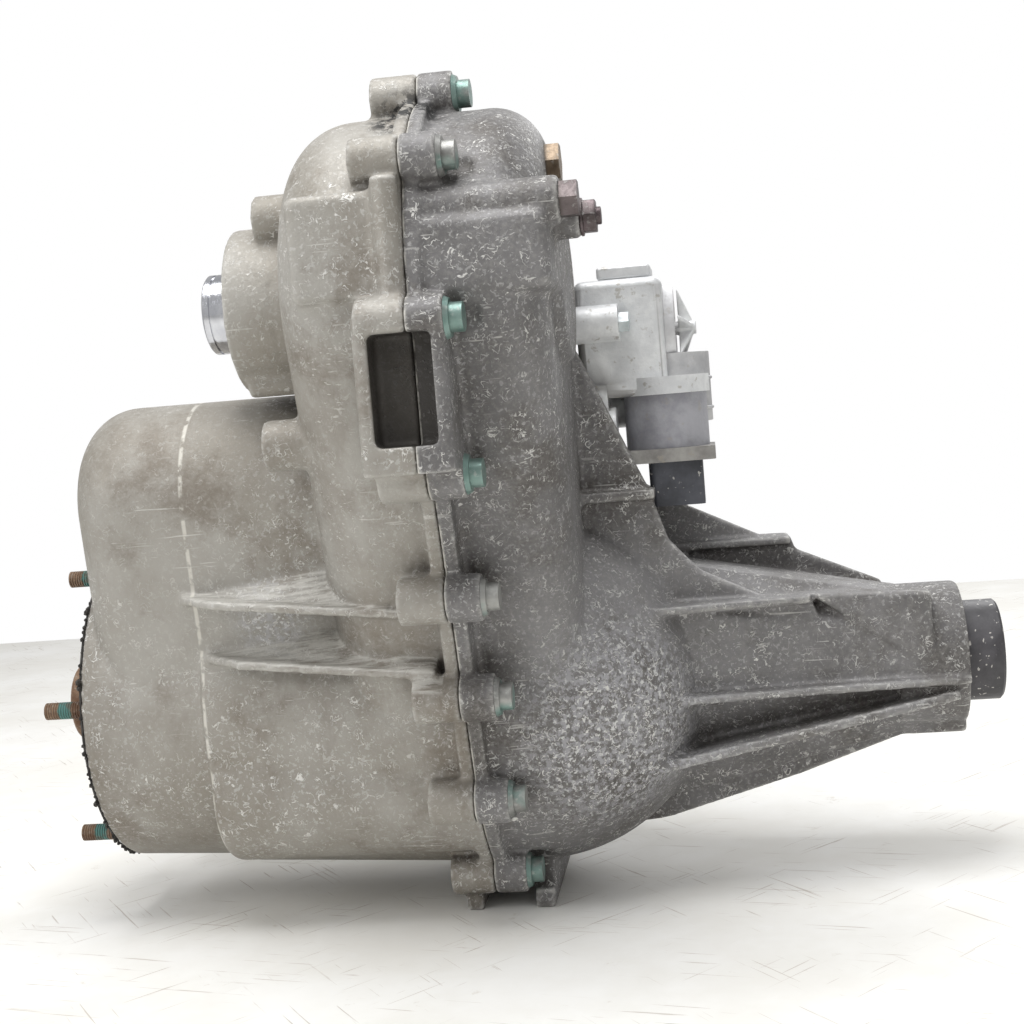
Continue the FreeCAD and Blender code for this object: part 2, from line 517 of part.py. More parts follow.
def rear_casting():
    high = (FRONT_Y, FRONT_Z, HIGH)
    chamber = racetrack("rear_chamber", (0, 0, LOW - 16), high, SEAM, REAR_FACE,
                        REAR_FACE, SIZE["dome_rear_round"])
    lip = racetrack("rear_lip", (0, 0, LOW + SIZE["lip_width"]),
                    (FRONT_Y, FRONT_Z, HIGH + SIZE["lip_width"]), SEAM, SEAM + SIZE["lip_thick"])
    lobe = rod("rear_lobe", LOW, SEAM, SIZE["dome_centre_x"])
    belly = dome("rear_dome", LOW, SIZE["dome_centre_x"])
    skin = tail_skin("tail_skin", 0)
    collar = soften("tail_collar", rod("tail_collar_rod", SIZE["collar_radius"], SIZE["collar_start_x"], TAIL_END),
                    1.5, lambda span: span.XMin > TAIL_END.value - 1)
    collar_lug = box("collar_lug", TAIL_END - 36, TAIL_END, -11, 11, -SIZE["collar_radius"] - 5, -30)
    near_web = plate("near_web", "XZ_Plane", [
        (REAR_FACE - 20, 0), (REAR_FACE - 20, 198), (REAR_FACE + 3, 198), (336, 115), (346, 83), (363, 64),
        (397, 47), (425, 46), (440, 0)], -44, 7)
    far_web = plate("far_web", "XZ_Plane", [
        (REAR_FACE - 20, 0), (REAR_FACE - 20, 132), (REAR_FACE + 3, 132), (359, 96), (401, 75), (419, 74),
        (422, 65), (473, 42), (480, 20), (480, 0)], 28, 7)
    low_web = plate("low_web", "XZ_Plane", [
        (270, 0), (270, -100), (333, -93), (414, -70), (476, -49), (TAIL_END - 10, -47), (TAIL_END - 10, 0)],
        -4, 8)
    mid_rib = plate("mid_rib", "XY_Plane", [
        (320, -30), (320, -70), (425, -52), (425, -30)], 41, 5)
    low_rib = plate("low_rib", "XY_Plane", [
        (330, -20), (330, -66), (400, -57), (TAIL_END, -45), (TAIL_END, -20)], -12, 5)
    far_mid_rib = plate("far_mid_rib", "XY_Plane", [
        (330, 20), (330, 62), (419, 48), (419, 20)], 69, 5)
    far_low_rib = plate("far_low_rib", "XY_Plane", [
        (330, 20), (330, 66), (400, 57), (TAIL_END, 45), (TAIL_END, 20)], -12, 5)
    web_shelf = plate("web_shelf", "XY_Plane", [
        (REAR_FACE - 5, -34), (REAR_FACE - 5, -58), (340, -54), (340, -34)], 108, 6)
    facet = plate("collar_facet", "XZ_Plane", [
        (424, 46), (TAIL_END - 20, 43), (TAIL_END - 20, 4), (TAIL_END - 30, 4)], -44, 20)
    side_barrel = rod("side_barrel", 12.5, SEAM, REAR_FACE + 12, SIDE_BOLT_Y, SIDE_BOLT_Z)
    side_block = soften("side_block", box("side_block_box", SEAM, REAR_FACE + 6, FRONT_Y - HIGH - 3, FRONT_Y - 40,
                                          FRONT_Z - 8, FRONT_Z + 32), 6,
                        lambda span: span.XMin > REAR_FACE.value or span.YMax < (FRONT_Y - HIGH).value)
    plug_boss = rod("plug_boss", 13, REAR_FACE - 26, REAR_FACE - 1, PLUG_Y, PLUG_Z)
    pilot_cap = turned("pilot_cap", [(REAR_FACE - 10, 0), (REAR_FACE - 10, 46), (REAR_FACE + 3, 44),
                                     (REAR_FACE + 6, 40), (REAR_FACE + 6, 0)], FRONT_Y, FRONT_Z)
    pads = [rod("actuator_pad", 22, REAR_FACE - 14, REAR_FACE + 3, SHIFT_Y, SHIFT_Z)]
    pads += [rod("actuator_bolt_pad_%d" % n, 11, REAR_FACE - 30, REAR_FACE + 3, y, z)
             for n, (y, z) in enumerate(ACTUATOR_BOLTS)]
    bracket = soften("bracket_rear", box("bracket_rear_box", SEAM, BRACKET_X1, BRACKET_FACE, BRACKET_BACK,
                                         BRACKET_Z0, BRACKET_Z1), 4,
                     lambda span: span.YMax < BRACKET_FACE.value + 1 and span.XMin > SEAM.value + 1)
    foot = box("rear_foot", SEAM, SEAM + 34, -SIZE["foot_half_width"], SIZE["foot_half_width"],
               FOOT_LOW, -LOW + 14)
    outside = union("rear_outside", chamber, lip, lobe, belly, skin, collar, collar_lug, near_web, far_web,
                    low_web, mid_rib, low_rib, far_mid_rib, far_low_rib, web_shelf, facet, side_barrel,
                    side_block, plug_boss, pilot_cap, bracket, foot, *pads,
                    *bosses("rear_boss", SEAM, SEAM + SIZE["boss_seat"], SIZE["boss_radius"]))
    hollow = [
        racetrack("rear_chamber_hollow", (0, 0, LOW - 16 - WALL), (FRONT_Y, FRONT_Z, HIGH - WALL),
                  SEAM - 1, REAR_FACE - WALL, REAR_FACE - WALL, SIZE["dome_rear_round"] - WALL),
        rod("rear_lobe_hollow", LOW - WALL, SEAM - 1, SIZE["dome_centre_x"]),
        dome("rear_dome_hollow", LOW - WALL, SIZE["dome_centre_x"]),
        tail_skin("tail_hollow", WALL + 3),
    ]
    shell = cut("rear_shell", outside, *hollow)
    seats = union("rear_with_seats", shell,
                  ring("bulkhead", 30, 93, REAR_BEARING_X + 6, REAR_BEARING_X + 13),
                  ring("rear_bearing_tube", 30, REAR_BEARING_RADIUS + 8, REAR_BEARING_X - 4,
                       REAR_BEARING_X + REAR_BEARING_WIDTH + 3),
                  ring("pilot_tube", 20, PILOT_RADIUS + 7, PILOT_X - 2, REAR_FACE - 4, FRONT_Y, FRONT_Z),
                  rod("rail_rear_seat", 13, RAIL_END - 12, REAR_FACE - 3, RAIL_Y, RAIL_Z),
                  ring("bushing_tube", 24, 34, BUSHING_X - 4, BOOT_SEAT_X),
                  ring("collar_wall", 28, 36, BOOT_SEAT_X - 4, TAIL_END))
    bores = [
        rod("rear_bearing_bore", REAR_BEARING_RADIUS + SEAT, REAR_BEARING_X - 5,
            REAR_BEARING_X + REAR_BEARING_WIDTH),
        rod("rear_neck", 32, REAR_BEARING_X, REAR_BEARING_X + REAR_BEARING_WIDTH + 10),
        rod("pilot_bore", PILOT_RADIUS + SEAT, PILOT_X - 3, PILOT_X + PILOT_WIDTH + 2, FRONT_Y, FRONT_Z),
        rod("bushing_bore", SIZE["bushing_outer"] + SEAT, BUSHING_X - 5, BOOT_SEAT_X + 1),
        rod("boot_bore", SIZE["boot_radius"] + SEAT, BOOT_SEAT_X, TAIL_END + 1),
        rod("shift_shaft_bore", SIZE["shift_shaft_radius"] + RUN, REAR_FACE - 20, REAR_FACE + 10,
            SHIFT_Y, SHIFT_Z),
        rod("side_bolt_bore", SIZE["bolt_radius"] + SEAT, REAR_FACE - 26, REAR_FACE + 13,
            SIDE_BOLT_Y, SIDE_BOLT_Z),
        rod("plug_bore", 7 + SEAT, REAR_FACE - 27, REAR_FACE, PLUG_Y, PLUG_Z),
        rod("plug_spot", 12.5, REAR_FACE - 1, REAR_FACE + 5, PLUG_Y, PLUG_Z),
        rod("rail_rear_bore", SIZE["rail_radius"] + SEAT, RAIL_END - 13, RAIL_END, RAIL_Y, RAIL_Z),
        box("rear_foot_gap", SEAM - 1, SEAM + 22, -SIZE["foot_half_width"] - 1, SIZE["foot_half_width"] + 1,
            FOOT_LOW - 1, -LOW - 3),
        box("bracket_floor", SEAM - 1, BRACKET_X1 - 7, BRACKET_FACE - 1, BRACKET_FACE + 16,
            BRACKET_Z0 + 14, BRACKET_Z1 - 8),
    ]
    bores += bosses("rear_bolt_hole", SEAM - 1, SEAM + SIZE["boss_seat"] + 1, SIZE["bolt_radius"] + SEAT)
    bores += bosses("spot_face", SEAM + SIZE["boss_seat"], SEAM + SIZE["boss_seat"] + 16,
                    SIZE["bolt_flange_radius"] + 0.8)
    bores += [rod("actuator_bolt_hole_%d" % n, 3.5 + SEAT, REAR_FACE - 18, REAR_FACE + 4, y, z)
              for n, (y, z) in enumerate(ACTUATOR_BOLTS)]
    return cut("rear_case", seats, *bores)


rear_case = rear_casting()


# ---- bearings, seals and fasteners ----

def ball_bearing(name, inner, outer, start, width, y=0, z=0, balls=9):
    """An inner ring, an outer ring and the balls between them, as separate solids."""
    inner, outer = size(inner), size(outer)
    race = (outer - inner) * 0.27
    orbit = (inner + outer) / 2
    radius = (outer - inner) / 2 - race - SEAT
    pieces = [ring(name + "_inner", inner + SEAT, inner + race, start, size(start) + width, y, z),
              ring(name + "_outer", outer - race, outer, start, size(start) + width, y, z)]
    for n in range(balls):
        side, up = polar(orbit, 360.0 * n / balls)
        pieces.append(ball("%s_ball_%d" % (name, n), radius, size(start) + size(width) / 2, side + y, up + z))
    return group(name, *pieces)


def hexagon(across_flats, turn=0):
    reach = across_flats / math.sqrt(3)
    return [(reach * math.cos(math.radians(60 * n + turn)), reach * math.sin(math.radians(60 * n + turn)))
            for n in range(6)]


def flange_bolt(name, shank_radius, shank_length, head_x, y, z):
    """A flange-head bolt along X whose head looks towards +X; head_x is under the flange."""
    shank = rod(name + "_shank", shank_radius, size(head_x) - shank_length, head_x, y, z)
    flange = cone(name + "_flange", SIZE["bolt_flange_radius"], SIZE["bolt_flange_radius"] - 1.2,
                  head_x, size(head_x) + 2.5, y, z)
    head = rod(name + "_head", SIZE["bolt_head_radius"], size(head_x) + 2, size(head_x) + 9, y, z)
    return union(name, shank, flange, head)


def hex_bolt(name, shank_radius, shank_length, across, height, head_x, y, z):
    shank = rod(name + "_shank", shank_radius, size(head_x) - shank_length, head_x, y, z)
    head = plate(name + "_head", "YZ_Plane", hexagon(across), 0, height)
    place(head, head_x, y, z)
    return union(name, shank, head)


BOLT_SEAT_X = SEAM + SIZE["boss_seat"]
case_bolts = group("case_bolts", *[
    flange_bolt("case_bolt_%d" % n, SIZE["bolt_radius"], SIZE["boss_seat"] + 17, BOLT_SEAT_X, y, z)
    for n, (y, z) in enumerate(SEAM_PLACES)])

input_studs = group("input_studs", *[
    union("input_stud_%d" % n,
          rod("stud_shank_%d" % n, SIZE["stud_radius"], -SIZE["stud_reach"], 0, y, z),
          rod("stud_root_%d" % n, SIZE["stud_root_radius"], -1, SIZE["stud_depth"], y, z))
    for n, (y, z) in enumerate(STUD_PLACES)])

gasket_ring = ring("gasket_ring", SEAL_IN_RADIUS + 8, SIZE["flange_radius"] - 0.5, -SIZE["gasket_thick"], 0)
input_gasket = cut("input_gasket", gasket_ring, *[
    rod("gasket_hole_%d" % n, SIZE["stud_radius"] + 2.2, -SIZE["gasket_thick"] - 1, 1, y, z)
    for n, (y, z) in enumerate(STUD_PLACES)])

side_cover_bolt = hex_bolt("side_cover_bolt", SIZE["bolt_radius"], 30, 17, 9, REAR_FACE + 12,
                           SIDE_BOLT_Y, SIDE_BOLT_Z)
fill_plug = hex_bolt("fill_plug", 7, 16, 19, 8, REAR_FACE - 1, PLUG_Y, PLUG_Z)

input_bearing = ball_bearing("input_bearing", SIZE["hub_radius"], BEARING_IN_RADIUS, BEARING_IN_X,
                             BEARING_IN_WIDTH, balls=10)
input_seal = turned("input_seal", [
    (0.5, SIZE["hub_radius"] + RUN), (0.5, SEAL_IN_RADIUS), (10, SEAL_IN_RADIUS), (10, SEAL_IN_RADIUS - 3),
    (3, SEAL_IN_RADIUS - 3), (3, SIZE["hub_radius"] + 4), (8, SIZE["hub_radius"] + 3),
    (8, SIZE["hub_radius"] + RUN)])

front_output_bearing = ball_bearing("front_output_bearing", SIZE["front_journal_radius"],
                                    FRONT_BEARING_RADIUS, FRONT_BEARING_X, FRONT_BEARING_WIDTH,
                                    FRONT_Y, FRONT_Z, 9)
front_output_seal = turned("front_output_seal", [
    (FRONT_SEAL_X, SIZE["front_journal_radius"] + RUN), (FRONT_SEAL_X, 34), (FRONT_SEAL_X + 8, 34),
    (FRONT_SEAL_X + 8, 31), (FRONT_SEAL_X + 3, 31), (FRONT_SEAL_X + 3, SIZE["front_journal_radius"] + 3),
    (FRONT_SEAL_X + 7, SIZE["front_journal_radius"] + 2),
    (FRONT_SEAL_X + 7, SIZE["front_journal_radius"] + RUN)], FRONT_Y, FRONT_Z)

rear_bearing = ball_bearing("rear_bearing", SIZE["main_tail_radius"], REAR_BEARING_RADIUS, REAR_BEARING_X,
                            REAR_BEARING_WIDTH, balls=9)
PILOT_NOSE_RADIUS = size(15)
pilot_rollers = [rod("pilot_roller_%d" % n, 3.4, PILOT_X + 2, PILOT_X + PILOT_WIDTH - 2, y + FRONT_Y, z + FRONT_Z)
                 for n, (y, z) in enumerate([polar(PILOT_NOSE_RADIUS + 3.5, 30 * k) for k in range(12)])]
front_pilot_bearing = group("front_pilot_bearing",
                            ring("pilot_cup", PILOT_NOSE_RADIUS + 7, PILOT_RADIUS, PILOT_X, PILOT_X + PILOT_WIDTH,
                                 FRONT_Y, FRONT_Z), *pilot_rollers)

tail_bushing = ring("tail_bushing", SIZE["bushing_radius"], SIZE["bushing_outer"], BUSHING_X,
                    BUSHING_X + BUSHING_WIDTH)
rear_seal_boot = turned("rear_seal_boot", [
    (BOOT_SEAT_X + 0.5, SIZE["bushing_radius"] + 0.5), (BOOT_SEAT_X + 0.5, SIZE["boot_radius"]),
    (TAIL_END + SIZE["boot_reach"] - 1.5, SIZE["boot_radius"]),
    (TAIL_END + SIZE["boot_reach"], SIZE["boot_radius"] - 1.5),
    (TAIL_END + SIZE["boot_reach"], SIZE["boot_radius"] - 4), (BOOT_SEAT_X + 7, SIZE["boot_radius"] - 4),
    (BOOT_SEAT_X + 5, SIZE["bushing_radius"] + 0.5)])


# ---- planetary reduction ----

def gear_outline(teeth, module, inside=False, flank_points=3):
    """Involute teeth about the origin, thinned for backlash; an inside gear's teeth point inwards."""
    pitch = module * teeth / 2
    base = pitch * math.cos(math.radians(20))
    outer = pitch + module * (1.2 if inside else 0.95)
    inner = pitch - module * (0.95 if inside else 1.2)
    backlash = 0.12
    half = math.pi / (2 * teeth) + (backlash if inside else -backlash) / (2 * pitch)
    lean = math.tan(math.radians(20)) - math.radians(20)

    def half_angle(radius):
        pressure = math.acos(min(1.0, base / radius))
        return half + lean - (math.tan(pressure) - pressure)

    low = max(inner, base)
    radii = [low + (outer - low) * n / (flank_points - 1) for n in range(flank_points)]
    if inner < low:
        radii.insert(0, inner)
    corners = []
    for tooth in range(teeth):
        centre = 2 * math.pi * tooth / teeth
        for side, run in ((-1, radii), (1, radii[::-1])):
            for radius in run:
                angle = centre + side * max(half_angle(max(radius, low)), 0.0)
                corners.append((radius * math.cos(angle), radius * math.sin(angle)))
    return corners


def turn_outline(corners, angle, y=0.0, z=0.0):
    cosine, sine = math.cos(angle), math.sin(angle)
    return [(y + u * cosine - v * sine, z + u * sine + v * cosine) for u, v in corners]


def along_x(radius, start, thick, y=0.0, z=0.0):
    return Part.makeCylinder(radius, thick, FreeCAD.Vector(start, y, z), FreeCAD.Vector(1, 0, 0))


MODULE = SIZE["gear_module"].value
SUN, PLANET, RING = [int(SIZE[key].value) for key in ("sun_teeth", "planet_teeth", "ring_teeth")]
GEAR_FROM, GEAR_THICK = GEAR_X.value, SIZE["gear_width"].value
PIN_RADIUS = 5.5
PLANETS = 4
SUN_DOG_RADIUS, NOSE_RADIUS = size(32), size(31)

ring_rim = along_x(SIZE["flange_radius"].value - WALL.value - SEAT.value, GEAR_FROM, GEAR_THICK)
ring_gear = coded("ring_gear", ring_rim.cut(
    prism(gear_outline(RING, MODULE, True), GEAR_FROM - 1, GEAR_THICK + 2)))

sun_blank = prism(gear_outline(SUN, MODULE), GEAR_FROM, GEAR_THICK)
hub = turned("input_hub", [
    (-SIZE["hub_reach"], SIZE["hub_bore_radius"]), (-SIZE["hub_reach"], SIZE["hub_radius"] - 1.5),
    (-SIZE["hub_reach"] + 1.5, SIZE["hub_radius"]), (BEARING_IN_X + BEARING_IN_WIDTH, SIZE["hub_radius"]),
    (BEARING_IN_X + BEARING_IN_WIDTH, 30), (GEAR_X + 1, 38), (GEAR_X + 1, 12 + RUN), (28, 12 + RUN),
    (28, SIZE["hub_bore_radius"])])
sun_teeth = coded("sun_teeth", sun_blank.cut(along_x(12 + RUN.value, GEAR_FROM - 1, GEAR_THICK + 2)))
input_shaft = cut("input_shaft", union("input_shaft_blank", hub, sun_teeth),
                  rod("sun_dog_bore", SUN_DOG_RADIUS, GEAR_X + 14, GEAR_END + 1))


def planet_phase(place_angle):
    """Turns a planet so that a gap faces the sun tooth nearest the line of centres."""
    sun_share = (place_angle / (2 * math.pi / SUN)) % 1.0
    return place_angle + math.pi + (2 * math.pi / PLANET) * (0.5 - (1 - sun_share) % 1.0)


planet_gears = []
for index in range(PLANETS):
    where = 2 * math.pi * index / PLANETS
    orbit = PLANET_ORBIT.value
    at_y, at_z = orbit * math.cos(where), orbit * math.sin(where)
    teeth = prism(turn_outline(gear_outline(PLANET, MODULE), planet_phase(where), at_y, at_z),
                  GEAR_FROM + 0.5, GEAR_THICK - 1)
    bored = teeth.cut(along_x(PIN_RADIUS + RUN.value, GEAR_FROM, GEAR_THICK, at_y, at_z))
    planet_gears.append(coded("planet_gear_%d" % (index + 1), bored))

CARRIER_FRONT, CARRIER_REAR, CARRIER_THICK = GEAR_X - 4.5, GEAR_END + 0.5, size(5)
carrier_pieces = [ring("carrier_front_plate", 50, 76, CARRIER_FRONT, CARRIER_FRONT + 4.3),
                  ring("carrier_rear_plate", NOSE_RADIUS + 1, 76, CARRIER_REAR, CARRIER_REAR + CARRIER_THICK)]
for index in range(PLANETS):
    strut = box("carrier_strut_%d" % index, CARRIER_FRONT + 1, CARRIER_REAR + 1, -7, 7, 52, 73)
    carrier_pieces.append(swing(strut, 45 + 90 * index, CARRIER_FRONT + 1, -7, 52))
PIN_PLACES = [(PLANET_ORBIT * math.cos(math.pi / 2 * k), PLANET_ORBIT * math.sin(math.pi / 2 * k))
              for k in range(PLANETS)]
planet_carrier = cut("planet_carrier", union("carrier_blank", *carrier_pieces), *[
    rod("carrier_pin_hole_%d" % n, PIN_RADIUS, CARRIER_FRONT - 1, CARRIER_REAR + 8, y, z)
    for n, (y, z) in enumerate(PIN_PLACES)])
planet_pins = group("planet_pins", *[
    rod("planet_pin_%d" % n, PIN_RADIUS - SEAT, CARRIER_FRONT, CARRIER_REAR + CARRIER_THICK, y, z)
    for n, (y, z) in enumerate(PIN_PLACES)])


# ---- main shaft, range collar, clutch and oil pump ----

MAIN = SIZE["main_radius"]
MAIN_TAIL = SIZE["main_tail_radius"]
main_blank = turned("main_shaft_blank", [
    (GEAR_X - 12, 0), (GEAR_X - 12, 10.5), (GEAR_X - 10.5, 12), (GEAR_X + 14, 12), (GEAR_X + 14, MAIN),
    (REAR_BEARING_X - 8, MAIN), (REAR_BEARING_X - 8, MAIN_TAIL + 4), (REAR_BEARING_X, MAIN_TAIL + 4),
    (REAR_BEARING_X, MAIN_TAIL), (340, MAIN_TAIL), (346, MAIN_TAIL - 3),
    (SIZE["main_end_x"] - 2, MAIN_TAIL - 3), (SIZE["main_end_x"], MAIN_TAIL - 5), (SIZE["main_end_x"], 0)])
spline = []
for tooth in range(24):
    for share, radius in ((-0.25, 15.4), (-0.15, 17.6), (0.15, 17.6), (0.25, 15.4)):
        angle = 2 * math.pi * (tooth + share) / 24
        spline.append((radius * math.cos(angle), radius * math.sin(angle)))
spline_cutter = along_x(30, 392, 80).cut(prism(spline, 391, 82))
main_shaft = cut("main_shaft", main_blank, coded("output_spline_gaps", spline_cutter))

COLLAR_X = GEAR_X + 18
range_collar = turned("range_collar", [
    (COLLAR_X, MAIN + SEAT), (COLLAR_X, NOSE_RADIUS), (COLLAR_X + 8, NOSE_RADIUS), (COLLAR_X + 8, 28),
    (COLLAR_X + 24, 28), (COLLAR_X + 24, 34), (COLLAR_X + 28, 34), (COLLAR_X + 28, 27), (COLLAR_X + 37, 27),
    (COLLAR_X + 37, 34), (COLLAR_X + 41, 34), (COLLAR_X + 41, MAIN + SEAT)])

CAM_X = size(116)
CAM_OUTER = size(56)
cam_fixed = ring("ball_ramp_fixed_cam", MAIN + RUN, CAM_OUTER, CAM_X, CAM_X + 6)
BALL_X = CAM_X + 10
ramp_balls = group("ball_ramp_balls", *[
    ball("ramp_ball_%d" % n, size(4) - SEAT, BALL_X, y, z)
    for n, (y, z) in enumerate([polar(44, 72 * k) for k in range(5)])])
CAM_TURN_X = CAM_X + 14
cam_ring = ring("cam_ring", MAIN + RUN, CAM_OUTER, CAM_TURN_X, CAM_TURN_X + 7)
cam_lever = plate("cam_lever", "YZ_Plane", [(-20, 45), (8, 50), (-4, 114), (-14, 114)], CAM_TURN_X, 7)
turning_cam = union("ball_ramp_turning_cam", cam_ring, cam_lever)

PACK_X = CAM_TURN_X + 12
pressure_plate = ring("pressure_plate", 40, 58, CAM_TURN_X + 8, PACK_X - 0.2)
thrust_bearing = ring("cam_thrust_bearing", 41, 55, CAM_TURN_X + 7.1, CAM_TURN_X + 7.9)
PLATES, PLATE_PITCH = 6, 4.5
friction_plates = group("clutch_friction_plates", *[
    ring("friction_plate_%d" % n, 39 + SEAT, 58, PACK_X + PLATE_PITCH * n, PACK_X + PLATE_PITCH * n + 2)
    for n in range(PLATES)])
steel_plates = group("clutch_steel_plates", *[
    ring("steel_plate_%d" % n, 42, 60.97, PACK_X + PLATE_PITCH * n + 2.2, PACK_X + PLATE_PITCH * n + 4.2)
    for n in range(PLATES)])
clutch_hub = turned("clutch_hub", [
    (PACK_X - 1, 36), (PACK_X - 1, 39), (PACK_X + 26, 39), (PACK_X + 26, 36), (PACK_X + 16, 36),
    (PACK_X + 16, MAIN + SEAT), (PACK_X + 10, MAIN + SEAT), (PACK_X + 10, 36)])
clutch_drum = turned("clutch_drum", [
    (PACK_X - 3, 61), (PACK_X - 3, 65), (CHAIN_X - 1.5, 65), (CHAIN_X - 1.5, 25), (CHAIN_X - 6, 25),
    (CHAIN_X - 6, 61)])


def sprocket(name, y, z, bore, first_tooth):
    """A silent-chain sprocket: a toothed rim between two plain sides."""
    teeth = int(SIZE["sprocket_teeth"].value)
    pitch_radius = SIZE["chain_pitch"].value / (2 * math.sin(math.pi / teeth))
    tip, root = pitch_radius - 1.9, pitch_radius - 6.8
    corners = []
    for tooth in range(teeth):
        for share, radius in ((-0.35, root), (-0.065, tip), (0.065, tip), (0.35, root)):
            angle = first_tooth + 2 * math.pi * (tooth + share) / teeth
            corners.append((radius * math.cos(angle), radius * math.sin(angle)))
    start, thick = CHAIN_X.value - 1, SIZE["chain_width"].value + 2
    blank = prism(turn_outline(corners, 0, y, z), start, thick)
    for side in (start - 1, start + thick - 8):
        relief = along_x(root - 5, side, 9, y, z).cut(along_x(bore + 8, side - 1, 11, y, z))
        blank = blank.cut(relief)
    return coded(name, blank.cut(along_x(bore, start - 1, thick + 2, y, z)))


CHAIN_HEADING = math.atan2(FRONT_Z.value, FRONT_Y.value)
drive_sprocket = sprocket("drive_sprocket", 0.0, 0.0, MAIN.value + 4.5, CHAIN_HEADING + math.pi / 2)
sprocket_bearing = ring("sprocket_needle_bearing", MAIN + SEAT, MAIN + 4.45, CHAIN_X + 1, CHAIN_END - 1)
driven_sprocket = sprocket("driven_sprocket", FRONT_Y.value, FRONT_Z.value, 22 + SEAT.value,
                           CHAIN_HEADING - math.pi / 2)

JOURNAL = SIZE["front_journal_radius"]
TIP = SIZE["front_tip_x"]
front_output_shaft = turned("front_output_shaft", [
    (TIP, SIZE["front_spline_radius"]), (TIP, JOURNAL - 1), (TIP + 1, JOURNAL), (TIP + 4, JOURNAL),
    (TIP + 4, JOURNAL - 1), (TIP + 5.5, JOURNAL - 1), (TIP + 5.5, JOURNAL),
    (FRONT_BEARING_X + FRONT_BEARING_WIDTH, JOURNAL), (FRONT_BEARING_X + FRONT_BEARING_WIDTH, 27),
    (FRONT_BEARING_X + FRONT_BEARING_WIDTH + 8, 27), (FRONT_BEARING_X + FRONT_BEARING_WIDTH + 8, 22),
    (CHAIN_END + 6, 22), (CHAIN_END + 6, PILOT_NOSE_RADIUS), (PILOT_X + PILOT_WIDTH + 1, PILOT_NOSE_RADIUS),
    (PILOT_X + PILOT_WIDTH + 1, 0), (TIP + 62, 0), (TIP + 60, SIZE["front_spline_radius"])], FRONT_Y, FRONT_Z)

pump_body = turned("oil_pump_body", [
    (PUMP_X, MAIN + 2), (PUMP_X, 48), (REAR_BEARING_X - 4, 48), (REAR_BEARING_X - 4, 41), (PUMP_X + 14, 41),
    (PUMP_X + 14, 36), (PUMP_X + 4, 36), (PUMP_X + 4, MAIN + 2)])
pump_rotor_shape = prism(turn_outline([
    ((26 + 4 * math.cos(8 * math.radians(step))) * math.cos(math.radians(step)),
     (26 + 4 * math.cos(8 * math.radians(step))) * math.sin(math.radians(step)))
    for step in range(0, 360, 9)], 0), PUMP_X.value + 4.4, 9)
oil_pump_rotor = coded("oil_pump_rotor", pump_rotor_shape.cut(
    along_x(MAIN.value + SEAT.value, PUMP_X.value, 20)))
pickup_tube = post("oil_pickup_tube", 5, -92, -48.1, PUMP_X + 6, 0)
oil_strainer = soften("oil_strainer", box("strainer_box", PUMP_X - 30, PUMP_X + 11, -19, 19, -99, -92.05), 3,
                      lambda span: span.ZLength > 6)


# ---- chain ----

def chain_shape():
    """Inverted-tooth links laid round both sprockets, each spanning one pitch."""
    teeth = int(SIZE["sprocket_teeth"].value)
    links = int(SIZE["chain_links"].value)
    pitch = SIZE["chain_pitch"].value
    wrap = pitch / (2 * math.sin(math.pi / teeth))
    span = CENTRE_DISTANCE.value
    arc_share = wrap * math.pi

    def spot(distance):
        distance %= 2 * (span + arc_share)
        if distance < span:
            return distance, -wrap, 0.0
        distance -= span
        if distance < arc_share:
            angle = distance / wrap
            return span + wrap * math.sin(angle), -wrap * math.cos(angle), angle
        distance -= arc_share
        if distance < span:
            return span - distance, wrap, math.pi
        angle = (distance - span) / wrap
        return -wrap * math.sin(angle), wrap * math.cos(angle), math.pi + angle

    solids = []
    length = 2 * (span + arc_share)
    for link in range(links):
        u, v, heading = spot(length * (link + 0.5) / links)
        inset = 0 if link % 2 else 2.5
        half = pitch / 2 - 0.25
        body = [(-half, -5), (half, -5), (half, 2), (half - 2.2, 5.2), (0, 0.5), (-half + 2.2, 5.2),
                (-half, 2)]
        local = turn_outline(body, heading, u, v)
        solids.append(prism(turn_outline(local, CHAIN_HEADING), CHAIN_X.value + inset,
                            SIZE["chain_width"].value - 2 * inset))
    return Part.makeCompound(solids)


drive_chain = coded("drive_chain", chain_shape())


# ---- range shift and electric actuator ----

shift_rail = rod("shift_rail", SIZE["rail_radius"], RAIL_START + 0.5, RAIL_END - 0.5, RAIL_Y, RAIL_Z)
FORK_X = COLLAR_X + 29.5
fork_ring = cut("fork_ring", ring("fork_hoop", 27.4, 42, FORK_X, FORK_X + 6),
                box("fork_mouth", FORK_X - 1, FORK_X + 7, -60, 60, -60, -6))
fork_arm = plate("fork_arm", "YZ_Plane", [(-30, 24), (8, 34), (RAIL_Y + 14, RAIL_Z - 4), (RAIL_Y - 12, RAIL_Z - 2)],
                 FORK_X, 6)
range_fork = cut("range_fork", union("fork_blank", fork_ring, fork_arm,
                                     rod("fork_hub", 13, FORK_X - 14, FORK_X + 20, RAIL_Y, RAIL_Z)),
                 rod("fork_hub_bore", SIZE["rail_radius"] + RUN, FORK_X - 20, FORK_X + 30, RAIL_Y, RAIL_Z),
                 rod("fork_collar_room", 27.4, FORK_X - 1, FORK_X + 8))

